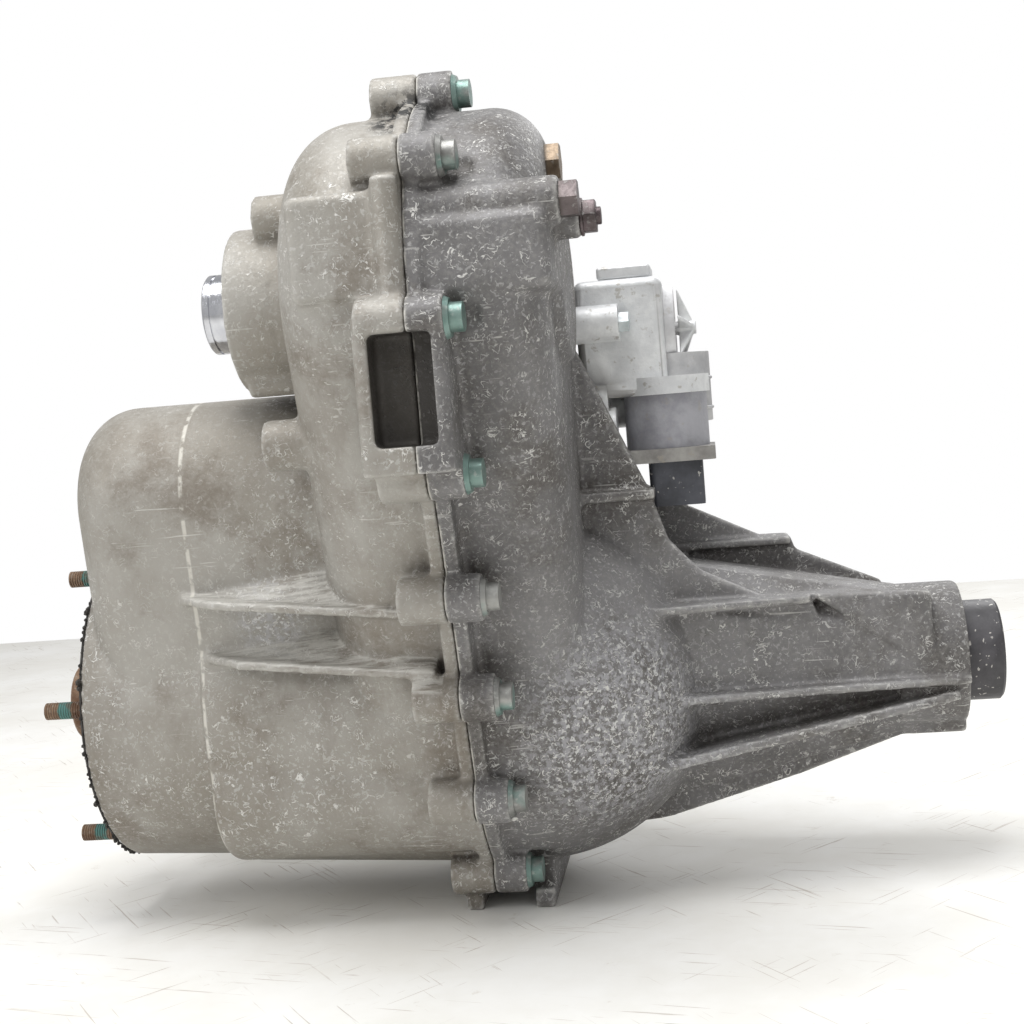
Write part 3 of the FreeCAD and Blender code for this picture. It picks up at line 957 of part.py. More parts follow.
SECTOR_X = size(130)
SHAFT_TIP = REAR_FACE + 20
sector_hub = rod("sector_hub", 14, SECTOR_X, SECTOR_X + 6, SHIFT_Y, SHIFT_Z)
sector_leaf = plate("sector_leaf", "YZ_Plane", [
    (SHIFT_Y - 12, SHIFT_Z - 4), (SHIFT_Y - 21, SHIFT_Z - 22), (SHIFT_Y - 10, SHIFT_Z - 28),
    (SHIFT_Y + 2, SHIFT_Z - 30), (SHIFT_Y + 9, SHIFT_Z - 8)], SECTOR_X, 6)
sector_cam = cut("sector_cam", union("sector_blank", sector_hub, sector_leaf),
                 rod("sector_bore", SIZE["shift_shaft_radius"] + SEAT, SECTOR_X - 1, SECTOR_X + 7, SHIFT_Y, SHIFT_Z))
shift_shaft = rod("shift_shaft", SIZE["shift_shaft_radius"], SECTOR_X - 4, SHAFT_TIP, SHIFT_Y, SHIFT_Z)

ACT_X = REAR_FACE + 3 + SEAT
MOTOR_X, MOTOR_Y, MOTOR_RADIUS = ACT_X + 49, size(-6), size(25)
ACT_LOW, ACT_TOP = size(168), size(238)
LUG_DEPTH = 26
COVER_Z = size(207)
actuator_block = soften("actuator_block", box("actuator_box", ACT_X, ACT_X + 52, -28, 36, ACT_LOW, ACT_TOP), 5)
actuator_body = cut(
    "actuator_body",
    union("actuator_blank", actuator_block, rod("actuator_neck", 12.5, ACT_X, ACT_X + 20, SHIFT_Y, SHIFT_Z),
          box("neck_web", ACT_X, ACT_X + 16, -34, -8, SHIFT_Z, ACT_LOW + 8),
          post("motor_socket", MOTOR_RADIUS + 2, ACT_LOW, ACT_LOW + 10.5, MOTOR_X, MOTOR_Y),
          *[rod("actuator_lug_%d" % n, 11, ACT_X, ACT_X + LUG_DEPTH, y, z)
            for n, (y, z) in enumerate(ACTUATOR_BOLTS)]),
    rod("actuator_shaft_bore", SIZE["shift_shaft_radius"] + RUN, ACT_X - 1, SHAFT_TIP + 1, SHIFT_Y, SHIFT_Z),
    post("motor_socket_bore", 20 + SEAT, ACT_LOW - 1, ACT_LOW + 8, MOTOR_X, MOTOR_Y),
    *[rod("actuator_bolt_bore_%d" % n, 3.5 + SEAT, ACT_X - 1, ACT_X + LUG_DEPTH + 1, y, z)
      for n, (y, z) in enumerate(ACTUATOR_BOLTS)])
actuator_motor = union("actuator_motor",
                       post("motor_can", MOTOR_RADIUS, ACT_LOW - 32, ACT_LOW - 0.1, MOTOR_X, MOTOR_Y),
                       post("motor_neck", 20, ACT_LOW - 1, ACT_LOW + 7, MOTOR_X, MOTOR_Y))
CLAMP_TOP = ACT_LOW - 32.1
motor_clamp = soften("motor_clamp", box("clamp_box", MOTOR_X - 26, MOTOR_X + 28, MOTOR_Y - 28, MOTOR_Y + 28,
                                        CLAMP_TOP - 8, CLAMP_TOP), 4, lambda span: span.ZLength > 6)
connector = soften("actuator_connector", box("connector_box", MOTOR_X - 12, MOTOR_X + 20, MOTOR_Y - 26,
                                             MOTOR_Y + 6, CLAMP_TOP - 34, CLAMP_TOP - 8.1), 4,
                   lambda span: span.ZLength > 20)
COVER_X = ACT_X + 52.1
COVER_Y = size(4)
actuator_cover = union(
    "actuator_cover",
    turned("cover_disc", [(COVER_X, 0), (COVER_X, 27), (COVER_X + 6, 25), (COVER_X + 6, 20), (COVER_X + 3, 18),
                          (COVER_X + 3, 0)], COVER_Y, COVER_Z),
    rod("cover_hub", 4, COVER_X + 2, COVER_X + 9, COVER_Y, COVER_Z),
    *[swing(box("star_rib_%d" % n, COVER_X + 2, COVER_X + 5.5, -1.2, 1.2, 0, 21), 72 * n, COVER_X + 2, -1.2, 0,
            COVER_Y, COVER_Z) for n in range(5)])
top_plate = soften("actuator_top_plate", box("top_plate_box", ACT_X + 14, ACT_X + 46, -22, 24, ACT_TOP + 0.1,
                                             ACT_TOP + 8), 2)
actuator_bolts = group("actuator_bolts", *[
    hex_bolt("actuator_bolt_%d" % n, 3.5, LUG_DEPTH + 16, 11, 6, ACT_X + LUG_DEPTH + 0.1, y, z)
    for n, (y, z) in enumerate(ACTUATOR_BOLTS)])


# ---- write the pieces ----

PIECES = [
    front_case, rear_case, case_bolts, input_studs, input_gasket, side_cover_bolt, fill_plug, input_bearing,
    input_seal, front_output_bearing, front_output_seal, rear_bearing, front_pilot_bearing, tail_bushing,
    rear_seal_boot, ring_gear, input_shaft, *planet_gears, planet_carrier, planet_pins, main_shaft,
    range_collar, cam_fixed, ramp_balls, turning_cam, thrust_bearing, pressure_plate, friction_plates,
    steel_plates, clutch_hub, clutch_drum, drive_sprocket, sprocket_bearing, driven_sprocket,
    front_output_shaft, drive_chain, pump_body, oil_pump_rotor, pickup_tube, oil_strainer, shift_rail,
    range_fork, sector_cam, shift_shaft, actuator_body, actuator_motor, motor_clamp, connector,
    actuator_cover, top_plate, actuator_bolts,
]


def check_and_write():
    DOC.recompute()
    broken = [item.Name for item in DOC.Objects if "Invalid" in item.State or "Error" in item.State]
    broken += [piece.Label for piece in PIECES if piece.Shape.isNull() or not piece.Shape.isValid()]
    if broken:
        raise RuntimeError("these objects failed: " + ", ".join(broken))
    os.makedirs("parts", exist_ok=True)
    for piece in PIECES:
        piece.Shape.exportStep("parts/%s.step" % piece.Label)
        print("%-26s %2d solids %10.0f mm3" % (piece.Label, len(piece.Shape.Solids), piece.Shape.Volume))


check_and_write()
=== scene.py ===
import bpy
import math
from mathutils import Matrix, Vector


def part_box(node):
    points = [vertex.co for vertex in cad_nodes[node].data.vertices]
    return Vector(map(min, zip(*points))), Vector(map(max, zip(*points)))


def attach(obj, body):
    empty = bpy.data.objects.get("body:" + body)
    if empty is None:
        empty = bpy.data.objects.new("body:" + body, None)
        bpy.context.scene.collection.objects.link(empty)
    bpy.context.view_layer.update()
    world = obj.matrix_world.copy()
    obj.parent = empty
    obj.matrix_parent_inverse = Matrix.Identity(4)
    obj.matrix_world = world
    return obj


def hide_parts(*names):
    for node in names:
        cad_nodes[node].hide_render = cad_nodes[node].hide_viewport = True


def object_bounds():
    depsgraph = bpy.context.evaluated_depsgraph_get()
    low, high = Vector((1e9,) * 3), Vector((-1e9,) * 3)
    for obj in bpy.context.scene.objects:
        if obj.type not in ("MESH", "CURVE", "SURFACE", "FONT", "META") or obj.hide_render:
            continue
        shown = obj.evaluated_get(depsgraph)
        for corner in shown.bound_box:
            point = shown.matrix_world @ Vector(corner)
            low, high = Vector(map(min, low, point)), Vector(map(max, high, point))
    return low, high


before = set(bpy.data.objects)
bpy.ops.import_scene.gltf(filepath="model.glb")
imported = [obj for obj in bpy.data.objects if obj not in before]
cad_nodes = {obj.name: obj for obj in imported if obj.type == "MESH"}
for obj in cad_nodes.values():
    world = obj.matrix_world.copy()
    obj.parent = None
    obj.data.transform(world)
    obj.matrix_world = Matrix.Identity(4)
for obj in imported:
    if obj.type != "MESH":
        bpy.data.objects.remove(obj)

# Sizes of the whole case before anything is dressed.
cad_bounds = [list(corner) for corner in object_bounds()]
bpy.ops.object.select_all(action="DESELECT")


# ---- Camera, bench and light ----
# The case stands on a pale bench in a white room, seen from its front-output side a little above
# the main shaft. Three broad soft lamps stand round it.

scene = bpy.context.scene
scene.view_settings.view_transform = "Standard"
scene.display_settings.display_device = "sRGB"

camera_right = Vector((0.98916, 0.12270, -0.08072))
camera_up = Vector((0.07117, 0.08031, 0.99423))
camera_back = camera_right.cross(camera_up)
camera_place = Vector((0.375298, -0.968573, 0.171968))
camera_data = bpy.data.cameras.new("camera")
camera_data.sensor_width = 36.0
camera_data.lens = 55.55
camera = bpy.data.objects.new("camera", camera_data)
camera_turn = Matrix((camera_right, camera_up, camera_back)).transposed().to_4x4()
camera.matrix_world = Matrix.Translation(camera_place) @ camera_turn
scene.collection.objects.link(camera)
scene.camera = camera

foot_bottom = cad_bounds[0][2]
case_middle = Vector([(low + high) / 2 for low, high in zip(*cad_bounds)])


def new_material(name):
    """A new node material, with its node tree and its main shader."""
    material = bpy.data.materials.new(name)
    material.use_nodes = True
    tree = material.node_tree
    shader = tree.nodes["Principled BSDF"]
    return material, tree, shader


def node(tree, kind, **values):
    """A new node, with the values of its sockets or its settings given by name."""
    made = tree.nodes.new(kind)
    for key, value in values.items():
        if key in made.inputs:
            made.inputs[key].default_value = value
        else:
            setattr(made, key, value)
    return made


def object_place(tree, stretch=(1.0, 1.0, 1.0), shift=(0.0, 0.0, 0.0)):
    """Object coordinates, scaled for a pattern that runs along one direction, or shifted."""
    source = node(tree, "ShaderNodeTexCoord")
    mapping = node(tree, "ShaderNodeMapping")
    mapping.inputs["Scale"].default_value = stretch
    mapping.inputs["Location"].default_value = shift
    tree.links.new(source.outputs["Object"], mapping.inputs["Vector"])
    return mapping.outputs["Vector"]


def noise(tree, place, scale, detail=4.0, rough=0.55, distort=0.0):
    """The strength of a noise pattern at a place."""
    made = node(tree, "ShaderNodeTexNoise", Scale=scale, Detail=detail, Roughness=rough, Distortion=distort)
    tree.links.new(place, made.inputs["Vector"])
    return made.outputs["Fac"]


def ramp(tree, value, low, high, low_value=0.0, high_value=1.0):
    """Runs smoothly from low_value to high_value while the value goes from low to high."""
    made = node(tree, "ShaderNodeMapRange")
    made.interpolation_type = "SMOOTHSTEP"
    limits = {"From Min": low, "From Max": high, "To Min": low_value, "To Max": high_value}
    for name, number in limits.items():
        made.inputs[name].default_value = number
    tree.links.new(value, made.inputs["Value"])
    return made.outputs["Result"]


def blend_colour(tree, amount, under, over):
    """Lays one colour over another where amount is high; each may be a colour or a socket."""
    made = node(tree, "ShaderNodeMix")
    made.data_type = "RGBA"
    tree.links.new(amount, made.inputs["Factor"])
    for socket, colour in ((made.inputs[6], under), (made.inputs[7], over)):
        if isinstance(colour, tuple):
            socket.default_value = colour + (1.0,)
        else:
            tree.links.new(colour, socket)
    return made.outputs[2]


def combine(tree, one, other, operation="MULTIPLY"):
    """One value worked out from two, which may be numbers or sockets; by default their product."""
    made = node(tree, "ShaderNodeMath", operation=operation)
    for socket, value in zip(made.inputs, (one, other)):
        if isinstance(value, float):
            socket.default_value = value
        else:
            tree.links.new(value, socket)
    return made.outputs[0]


def add_bump(tree, shader, height, depth, strength=1.0):
    """Gives the shader a relief of a given depth in metres."""
    made = node(tree, "ShaderNodeBump", Strength=strength, Distance=depth)
    tree.links.new(height, made.inputs["Height"])
    tree.links.new(made.outputs["Normal"], shader.inputs["Normal"])


def stroke_place(tree, place, turn):
    """Coordinates turned about Z and squeezed, for strokes that all run one way."""
    turned = node(tree, "ShaderNodeMapping")
    turned.inputs["Rotation"].default_value = (0.0, 0.0, turn)
    tree.links.new(place, turned.inputs["Vector"])
    drawn_out = node(tree, "ShaderNodeMapping")
    drawn_out.inputs["Scale"].default_value = (2.0, 75.0, 1.0)
    tree.links.new(turned.outputs["Vector"], drawn_out.inputs["Vector"])
    return drawn_out.outputs["Vector"]


def bench_material():
    """A pale top with faint clouds, brown strokes that run three ways, and scuffs."""
    material, tree, shader = new_material("pale_bench")
    place = object_place(tree)
    cloudy = ramp(tree, noise(tree, place, 6.0, 6.0, 0.65), 0.35, 0.7)
    base = blend_colour(tree, cloudy, (0.86, 0.845, 0.80), (0.95, 0.945, 0.92))
    for turn, shift in ((0.25, 0.2), (0.95, 0.9), (2.3, 0.5)):
        mark = ramp(tree, noise(tree, stroke_place(tree, place, turn), 6.0, 3.0, 0.5), 0.655, 0.675)
        shifted = object_place(tree, shift=(shift, shift, 0.0))
        where = ramp(tree, noise(tree, shifted, 12.0, 3.0), 0.46, 0.56)
        stroke = combine(tree, combine(tree, mark, where), 0.55)
        base = blend_colour(tree, stroke, base, (0.40, 0.33, 0.27))
    scuff = ramp(tree, noise(tree, place, 45.0, 5.0, 0.7), 0.64, 0.72)
    base = blend_colour(tree, combine(tree, scuff, 0.35), base, (0.50, 0.44, 0.36))
    tree.links.new(base, shader.inputs["Base Color"])
    shader.inputs["Roughness"].default_value = 0.5
    return material


bench_side = 6.0
bench_back = 1.25
bench_middle = (case_middle.x, bench_back - bench_side / 2, foot_bottom)
bpy.ops.mesh.primitive_plane_add(size=bench_side, location=bench_middle)
bench = bpy.context.object
bench.name = "bench_top"
bench.data.materials.append(bench_material())

# The room is brighter to the camera than it lights the case.
room_light = 0.52
room_seen = 1.0
world = bpy.data.worlds.new("room")
scene.world = world
world.use_nodes = True
world_tree = world.node_tree
background = world_tree.nodes["Background"]
ray = world_tree.nodes.new("ShaderNodeLightPath")
seen = node(world_tree, "ShaderNodeMix")
seen.data_type = "FLOAT"
world_tree.links.new(ray.outputs["Is Camera Ray"], seen.inputs["Factor"])
seen.inputs[2].default_value = room_light
seen.inputs[3].default_value = room_seen
world_tree.links.new(seen.outputs[0], background.inputs["Strength"])
background.inputs["Color"].default_value = (1.0, 1.0, 1.0, 1.0)


def soft_lamp(name, place, size, power):
    """A round lamp that faces the middle of the case."""
    lamp = bpy.data.lights.new(name, "AREA")
    lamp.shape = "DISK"
    lamp.size = size
    lamp.energy = power
    holder = bpy.data.objects.new(name, lamp)
    holder.location = place
    holder.rotation_euler = (case_middle - Vector(place)).to_track_quat("-Z", "Y").to_euler()
    scene.collection.objects.link(holder)


soft_lamp("lamp_overhead", (0.15, -0.35, 1.5), 1.1, 20.0)
soft_lamp("lamp_left", (-1.1, -1.0, 0.9), 0.9, 8.0)
soft_lamp("lamp_back", (0.9, 1.2, 1.1), 0.9, 9.0)


# ---- Case halves ----
# Two sand-cast aluminium shells that meet at the seam. The melt leaves a fine grain and soft corners
# where walls and ribs run together; grit, oil and salt have marked the road side.

seam_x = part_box("rear_case")[0][0]
drum_step_x = 0.0765
output_y, output_z = [(low + high) / 2 for low, high in zip(*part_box("front_output_shaft"))][1:]

# How far the mouth of the front output's boss is set back, and what belongs to the mouth.
boss_set_back = 0.0165
boss_mouth_end = 0.118
boss_mouth_radius = 0.046

# Places that are marked in a way of their own, as lowest and highest corners or as a point.
# The first box holds the bracket pocket, which is painted near black as painted shade; the second holds the
# blade ribs, whose tops get a painted highlight.
pocket_shade_box = ((0.2105, -0.2035, 0.1530), (0.2440, -0.1800, 0.2095))
blade_box = ((0.064, -0.150, 0.018), (0.222, -0.1010, 0.092))
spill_place = (0.226, -0.125, 0.322)


def lone(piece):
    """Makes one piece the only one that the next operators act on."""
    bpy.ops.object.select_all(action="DESELECT")
    piece.select_set(True)
    bpy.context.view_layer.objects.active = piece


def copy_of(name, node_name):
    """A merged copy of a node's mesh, as a piece of its own."""
    piece = bpy.data.objects.new(name, cad_nodes[node_name].data.copy())
    scene.collection.objects.link(piece)
    lone(piece)
    bpy.ops.object.mode_set(mode="EDIT")
    bpy.ops.mesh.select_all(action="SELECT")
    bpy.ops.mesh.remove_doubles(threshold=0.00001)
    bpy.ops.object.mode_set(mode="OBJECT")
    return piece


def modify(piece, kind, **values):
    """Puts one modifier on a piece and applies it."""
    lone(piece)
    modifier = piece.modifiers.new(kind.lower(), kind)
    for key, value in values.items():
        setattr(modifier, key, value)
    bpy.ops.object.modifier_apply(modifier=modifier.name)


def join_into(piece, others):
    """Joins other pieces into one."""
    lone(piece)
    for other in others:
        other.select_set(True)
    bpy.ops.object.join()


def bevel_edges(width):
    """Rounds every edge of the active piece."""
    bpy.ops.object.mode_set(mode="EDIT")
    bpy.ops.mesh.select_all(action="SELECT")
    bpy.ops.mesh.bevel(offset=width, segments=2)
    bpy.ops.object.mode_set(mode="OBJECT")


def rod_along_x(vertices, radius, length, middle):
    """A cylinder that lies along X."""
    bpy.ops.object.select_all(action="DESELECT")
    bpy.ops.mesh.primitive_cylinder_add(vertices=vertices, radius=radius, depth=length, location=middle,
                                        rotation=(0.0, math.pi / 2, 0.0))
    return bpy.context.object


def raise_root(rib, outline, thick, root_rise, root_y):
    """Lifts the top of a rib's root, so that the top slopes down to the free edge."""
    for corner in rib.data.vertices:
        on_top = corner.co.z > outline[0][2] + thick / 2
        in_root = corner.co.y > root_y
        past_tip = corner.co.x > outline[0][0] + 0.001
        if on_top and in_root and past_tip:
            corner.co.z += root_rise


def flat_rib(name, outline, thick, tilt=0.0, root_rise=0.0, root_y=-0.085):
    """A rib drawn flat from its corners (x, y, z), given its thickness and tilted about Y at its tip."""
    bpy.ops.object.select_all(action="DESELECT")
    bpy.ops.mesh.primitive_circle_add(vertices=len(outline), radius=0.01, fill_type="NGON")
    rib = bpy.context.object
    rib.name = name
    for corner, spot in zip(rib.data.vertices, outline):
        corner.co = spot
    bpy.ops.object.mode_set(mode="EDIT")
    bpy.ops.mesh.select_all(action="SELECT")
    bpy.ops.mesh.extrude_region_move(TRANSFORM_OT_translate={"value": (0.0, 0.0, thick)})
    if root_rise:
        bpy.ops.object.mode_set(mode="OBJECT")
        raise_root(rib, outline, thick, root_rise, root_y)
        bpy.ops.object.mode_set(mode="EDIT")
    bpy.ops.mesh.select_all(action="SELECT")
    bpy.ops.transform.rotate(value=-tilt, orient_axis="Y", center_override=outline[0])
    bpy.ops.mesh.normals_make_consistent(inside=False)
    bpy.ops.object.mode_set(mode="OBJECT")
    return rib


def casting(name, node_name, ribs, shape=None):
    """A node's casting with its extra ribs run into it and every inner corner left soft."""
    piece = copy_of(name, node_name)
    if shape:
        shape(piece)
    join_into(piece, ribs)
    modify(piece, "REMESH", mode="VOXEL", voxel_size=0.0017)
    modify(piece, "SMOOTH", factor=0.5, iterations=5)
    most_triangles = 190000
    modify(piece, "DECIMATE", ratio=min(1.0, most_triangles / (2.0 * len(piece.data.polygons))))
    lone(piece)
    bpy.ops.object.shade_smooth()
    piece.data.materials.clear()
    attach(piece, "housing")
    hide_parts(node_name)
    return piece


def away_from(tree, place, axis, spot, inner, outer):
    """1 at a spot along one axis, falling to 0 between the inner and outer distance from it."""
    split = node(tree, "ShaderNodeSeparateXYZ")
    tree.links.new(place, split.inputs[0])
    gap = combine(tree, split.outputs[axis], spot, "SUBTRACT")
    return ramp(tree, combine(tree, gap, 0.0, "ABSOLUTE"), inner, outer, 1.0, 0.0)


def near_spot(tree, place, spot, inner, outer):
    """1 within the inner distance of a point, falling to 0 at the outer."""
    reach = node(tree, "ShaderNodeVectorMath", operation="DISTANCE")
    tree.links.new(place, reach.inputs[0])
    reach.inputs[1].default_value = spot
    return ramp(tree, reach.outputs["Value"], inner, outer, 1.0, 0.0)


def inside_box(tree, place, low, high):
    """1 between two corners and 0 a millimetre outside them."""
    split = node(tree, "ShaderNodeSeparateXYZ")
    tree.links.new(place, split.inputs[0])
    found = None
    for axis, start, end in zip("XYZ", low, high):
        within = combine(tree, ramp(tree, split.outputs[axis], start - 0.001, start),
                          ramp(tree, split.outputs[axis], end, end + 0.001, 1.0, 0.0))
        found = combine(tree, found, within) if found else within
    return found


def stained_metal(tree, place, elsewhere, pale, dark, stain):
    """Cloudy aluminium, with brown stains and a film of old oil in broad patches."""
    cloud = ramp(tree, noise(tree, place, 9.0, 6.0, 0.6), 0.34, 0.66)
    base = blend_colour(tree, cloud, dark, pale)
    stained = ramp(tree, noise(tree, elsewhere, 15.0, 8.0, 0.68), 0.50, 0.66)
    base = blend_colour(tree, combine(tree, stained, 0.75), base, stain)
    run_down = object_place(tree, (1.0, 1.0, 0.55), (0.8, 0.3, 0.1))
    oiled = ramp(tree, noise(tree, run_down, 8.0, 6.0, 0.7), 0.50, 0.64)
    return blend_colour(tree, combine(tree, oiled, 0.45), base, stain)


def painted_shade_and_wear(tree, elsewhere, base):
    """Painted shade darkens the places where two walls meet, and wear brightens the outer corners."""
    corner = node(tree, "ShaderNodeNewGeometry")
    worn = ramp(tree, corner.outputs["Pointiness"], 0.515, 0.57)
    # Ambient occlusion darkens the sheltered corners toward near black: painted shade, broken into patches
    # by noise.
    sheltered = node(tree, "ShaderNodeAmbientOcclusion", Distance=0.022, samples=8)
    painted_corner_shade = ramp(tree, sheltered.outputs["AO"], 0.72, 0.30)
    shade_patchiness = ramp(tree, noise(tree, elsewhere, 45.0, 5.0, 0.65), 0.30, 0.60, 0.35, 1.0)
    patchy_painted_shade = combine(tree, combine(tree, painted_corner_shade, shade_patchiness), 0.75)
    base = blend_colour(tree, patchy_painted_shade, base, (0.055, 0.045, 0.038))
    scrape = noise(tree, object_place(tree, (1.0, 6.0, 6.0)), 60.0, 5.0, 0.7)
    rubbed = combine(tree, combine(tree, worn, ramp(tree, scrape, 0.35, 0.6)), 0.75)
    return blend_colour(tree, rubbed, base, (0.62, 0.61, 0.58))


def grit_marks(tree, place, elsewhere, base, battered, chip_amount, chip_floor):
    """Curled chips and fine flecks, thickest about the battered spot; gives the colour and the chips."""
    # short lengths of a noise's contour lines, kept where a second noise is high
    curl = noise(tree, elsewhere, 190.0, 2.0, 0.5, 0.8)
    off_line = combine(tree, combine(tree, curl, 0.5, "SUBTRACT"), 0.0, "ABSOLUTE")
    line = ramp(tree, off_line, 0.010, 0.026, 1.0, 0.0)
    kept = ramp(tree, noise(tree, place, 150.0, 2.0, 0.5), 0.53, 0.58)
    spot, reach = battered
    struck = near_spot(tree, place, spot, reach * 0.35, reach)
    pitted = ramp(tree, noise(tree, place, 260.0, 4.0, 0.75), 0.44, 0.58)
    base = blend_colour(tree, combine(tree, combine(tree, struck, pitted), 0.6), base, (0.52, 0.52, 0.55))
    patch = ramp(tree, noise(tree, elsewhere, 11.0, 3.0, 0.6), 0.40, 0.62, chip_floor, 1.0)
    patch = combine(tree, patch, struck, "MAXIMUM")
    chips = combine(tree, combine(tree, line, kept), combine(tree, patch, chip_amount))
    base = blend_colour(tree, chips, base, (0.78, 0.77, 0.74))
    fleck = ramp(tree, noise(tree, place, 430.0, 2.0, 0.6, 0.6), 0.575, 0.63)
    flecks = combine(tree, fleck, combine(tree, patch, combine(tree, struck, 0.55, "ADD")))
    base = blend_colour(tree, combine(tree, flecks, 0.62), base, (0.66, 0.66, 0.65))
    return base, chips


def handling_scratches(tree, place, base):
    """Thin scratches drawn along the case as it was moved about."""
    scratch = ramp(tree, noise(tree, object_place(tree, (2.0, 40.0, 40.0)), 14.0, 2.0, 0.5), 0.66, 0.69)
    where = ramp(tree, noise(tree, place, 20.0, 3.0), 0.5, 0.62)
    scratched = combine(tree, scratch, where)
    return blend_colour(tree, combine(tree, scratched, 0.6), base, (0.66, 0.65, 0.62))


def local_marks(tree, place, base, line_x):
    """Painted shade in the bracket pocket, the oil spill on top, the blade ribs' tops lightened as painted
    highlight with scrapes, and the worn line at line_x.
    """
    # The bracket pocket is painted near black: painted shade.
    painted_pocket_shade = inside_box(tree, place, *pocket_shade_box)
    base = blend_colour(tree, combine(tree, painted_pocket_shade, 0.85), base, (0.045, 0.04, 0.035))
    spill = combine(tree, near_spot(tree, place, spill_place, 0.014, 0.026),
                    ramp(tree, noise(tree, place, 140.0, 5.0, 0.7), 0.44, 0.56))
    base = blend_colour(tree, spill, base, (0.03, 0.03, 0.03))
    # The upward faces of the blade ribs are lightened: painted highlight from light above, streaked like
    # scrapes.
    facing = node(tree, "ShaderNodeSeparateXYZ")
    tree.links.new(node(tree, "ShaderNodeTexCoord").outputs["Normal"], facing.inputs[0])
    upward = ramp(tree, facing.outputs["Z"], 0.25, 0.6)
    lit_scraped_blade_tops = combine(tree, inside_box(tree, place, *blade_box), upward)
    drawn = ramp(tree, noise(tree, object_place(tree, (1.5, 14.0, 14.0)), 22.0, 6.0, 0.7), 0.40, 0.58)
    base = blend_colour(tree, combine(tree, combine(tree, lit_scraped_blade_tops, drawn), 0.6), base, (0.66, 0.65, 0.61))
    ridge = away_from(tree, place, "X", line_x, 0.0006, 0.0016)
    broken = ramp(tree, noise(tree, place, 120.0, 3.0, 0.6), 0.40, 0.55)
    return blend_colour(tree, combine(tree, combine(tree, ridge, broken), 0.7), base, (0.70, 0.68, 0.62))


def cast_material(name, pale, dark, stain, chip_amount, line_x, battered, chip_floor):
    """Cast aluminium; battered is the spot where grit has struck it most, with its reach."""
    material, tree, shader = new_material(name)
    place = object_place(tree)
    elsewhere = object_place(tree, (1.0, 1.0, 1.0), (0.43, 0.17, 0.71))
    base = stained_metal(tree, place, elsewhere, pale, dark, stain)
    base = painted_shade_and_wear(tree, elsewhere, base)
    grain = noise(tree, place, 420.0, 4.0, 0.7)
    base = blend_colour(tree, combine(tree, ramp(tree, grain, 0.4, 0.75), 0.30), base, (0.46, 0.45, 0.42))
    base, chips = grit_marks(tree, place, elsewhere, base, battered, chip_amount, chip_floor)
    base = handling_scratches(tree, place, base)
    base = local_marks(tree, place, base, line_x)
    tree.links.new(base, shader.inputs["Base Color"])
    tree.links.new(ramp(tree, grain, 0.3, 0.7, 0.46, 0.72), shader.inputs["Roughness"])
    shader.inputs["Metallic"].default_value = 0.30
    lumps = noise(tree, place, 90.0, 4.0, 0.6)
    height = combine(tree, combine(tree, grain, 0.45), combine(tree, lumps, 0.9), "ADD")
    height = combine(tree, height, combine(tree, chips, 0.5), "ADD")
    add_bump(tree, shader, height, 0.0009, 0.8)
    return material


def shorten_output_boss(piece):
    """Sets the mouth of the front output's boss back, so that its journal stands clear."""
    for corner in piece.data.vertices:
        reach = math.hypot(corner.co.y - output_y, corner.co.z - output_z)
        if corner.co.x < boss_mouth_end and reach < boss_mouth_radius:
            corner.co.x += boss_set_back


def drum_rib(name, height, tip, shoulder, end, root_rise):
    """A blade rib on the drum's side; tip, shoulder and end are points (x, y) of its free edge."""
    root = -0.079
    outline = [(tip[0], root), tip, shoulder, end, (end[0], root), (shoulder[0], root)]
    return flat_rib(name, [(x, y, height) for x, y in outline], 0.0050, math.radians(5), root_rise)


def tail_rib(name, side):
    """A rib that slopes down the tail; side is -1 on the near side and 1 on the far side."""
    bottom = -0.052
    free_edge = [(0.322, 0.020), (0.322, 0.070), (0.405, 0.060), (0.510, 0.0455), (0.510, 0.020)]
    return flat_rib(name, [(x, side * y, bottom) for x, y in free_edge], 0.006, math.radians(-9.5))


drum_ribs = [
    drum_rib("upper_drum_rib", 0.0715, (0.060, -0.098), (0.092, -0.124), (0.218, -0.141), 0.026),
    drum_rib("lower_drum_rib", 0.0365, (0.074, -0.097), (0.104, -0.121), (0.218, -0.136), 0.024)]
front_casting = casting("front_casting", "front_case", drum_ribs, shorten_output_boss)
front_casting.data.materials.append(cast_material(
    "weathered_front_casting", (0.39, 0.375, 0.345), (0.28, 0.258, 0.222), (0.18, 0.152, 0.120),
    0.80, drum_step_x, ((0.12, -0.10, 0.06), 0.03), 0.24))

# A boss of its own carries a stud beside the long cover bolt.
stud_y, stud_z = -0.152, 0.262
stud_boss = rod_along_x(32, 0.0105, 0.030, (0.302, stud_y, stud_z))
bpy.ops.object.transform_apply(location=True, rotation=True, scale=True)
bevel_edges(0.0012)

tail_ribs = [stud_boss, tail_rib("near_tail_rib", -1), tail_rib("far_tail_rib", 1)]
rear_casting = casting("rear_casting", "rear_case", tail_ribs)
rear_casting.data.materials.append(cast_material(
    "weathered_rear_casting", (0.225, 0.220, 0.223), (0.125, 0.120, 0.120), (0.085, 0.075, 0.066),
    0.90, seam_x, ((0.318, -0.095, -0.020), 0.085), 0.5))


# ---- Oiled steel inside the case ----
# Gears, shafts, cams, plates and the chain run in oil. They are ground or machined steel, clouded
# by the oil film.

def dress(names, material):
    """Gives the material to every slot of the nodes."""
    for name in names:
        for held in cad_nodes[name].material_slots:
            held.material = material


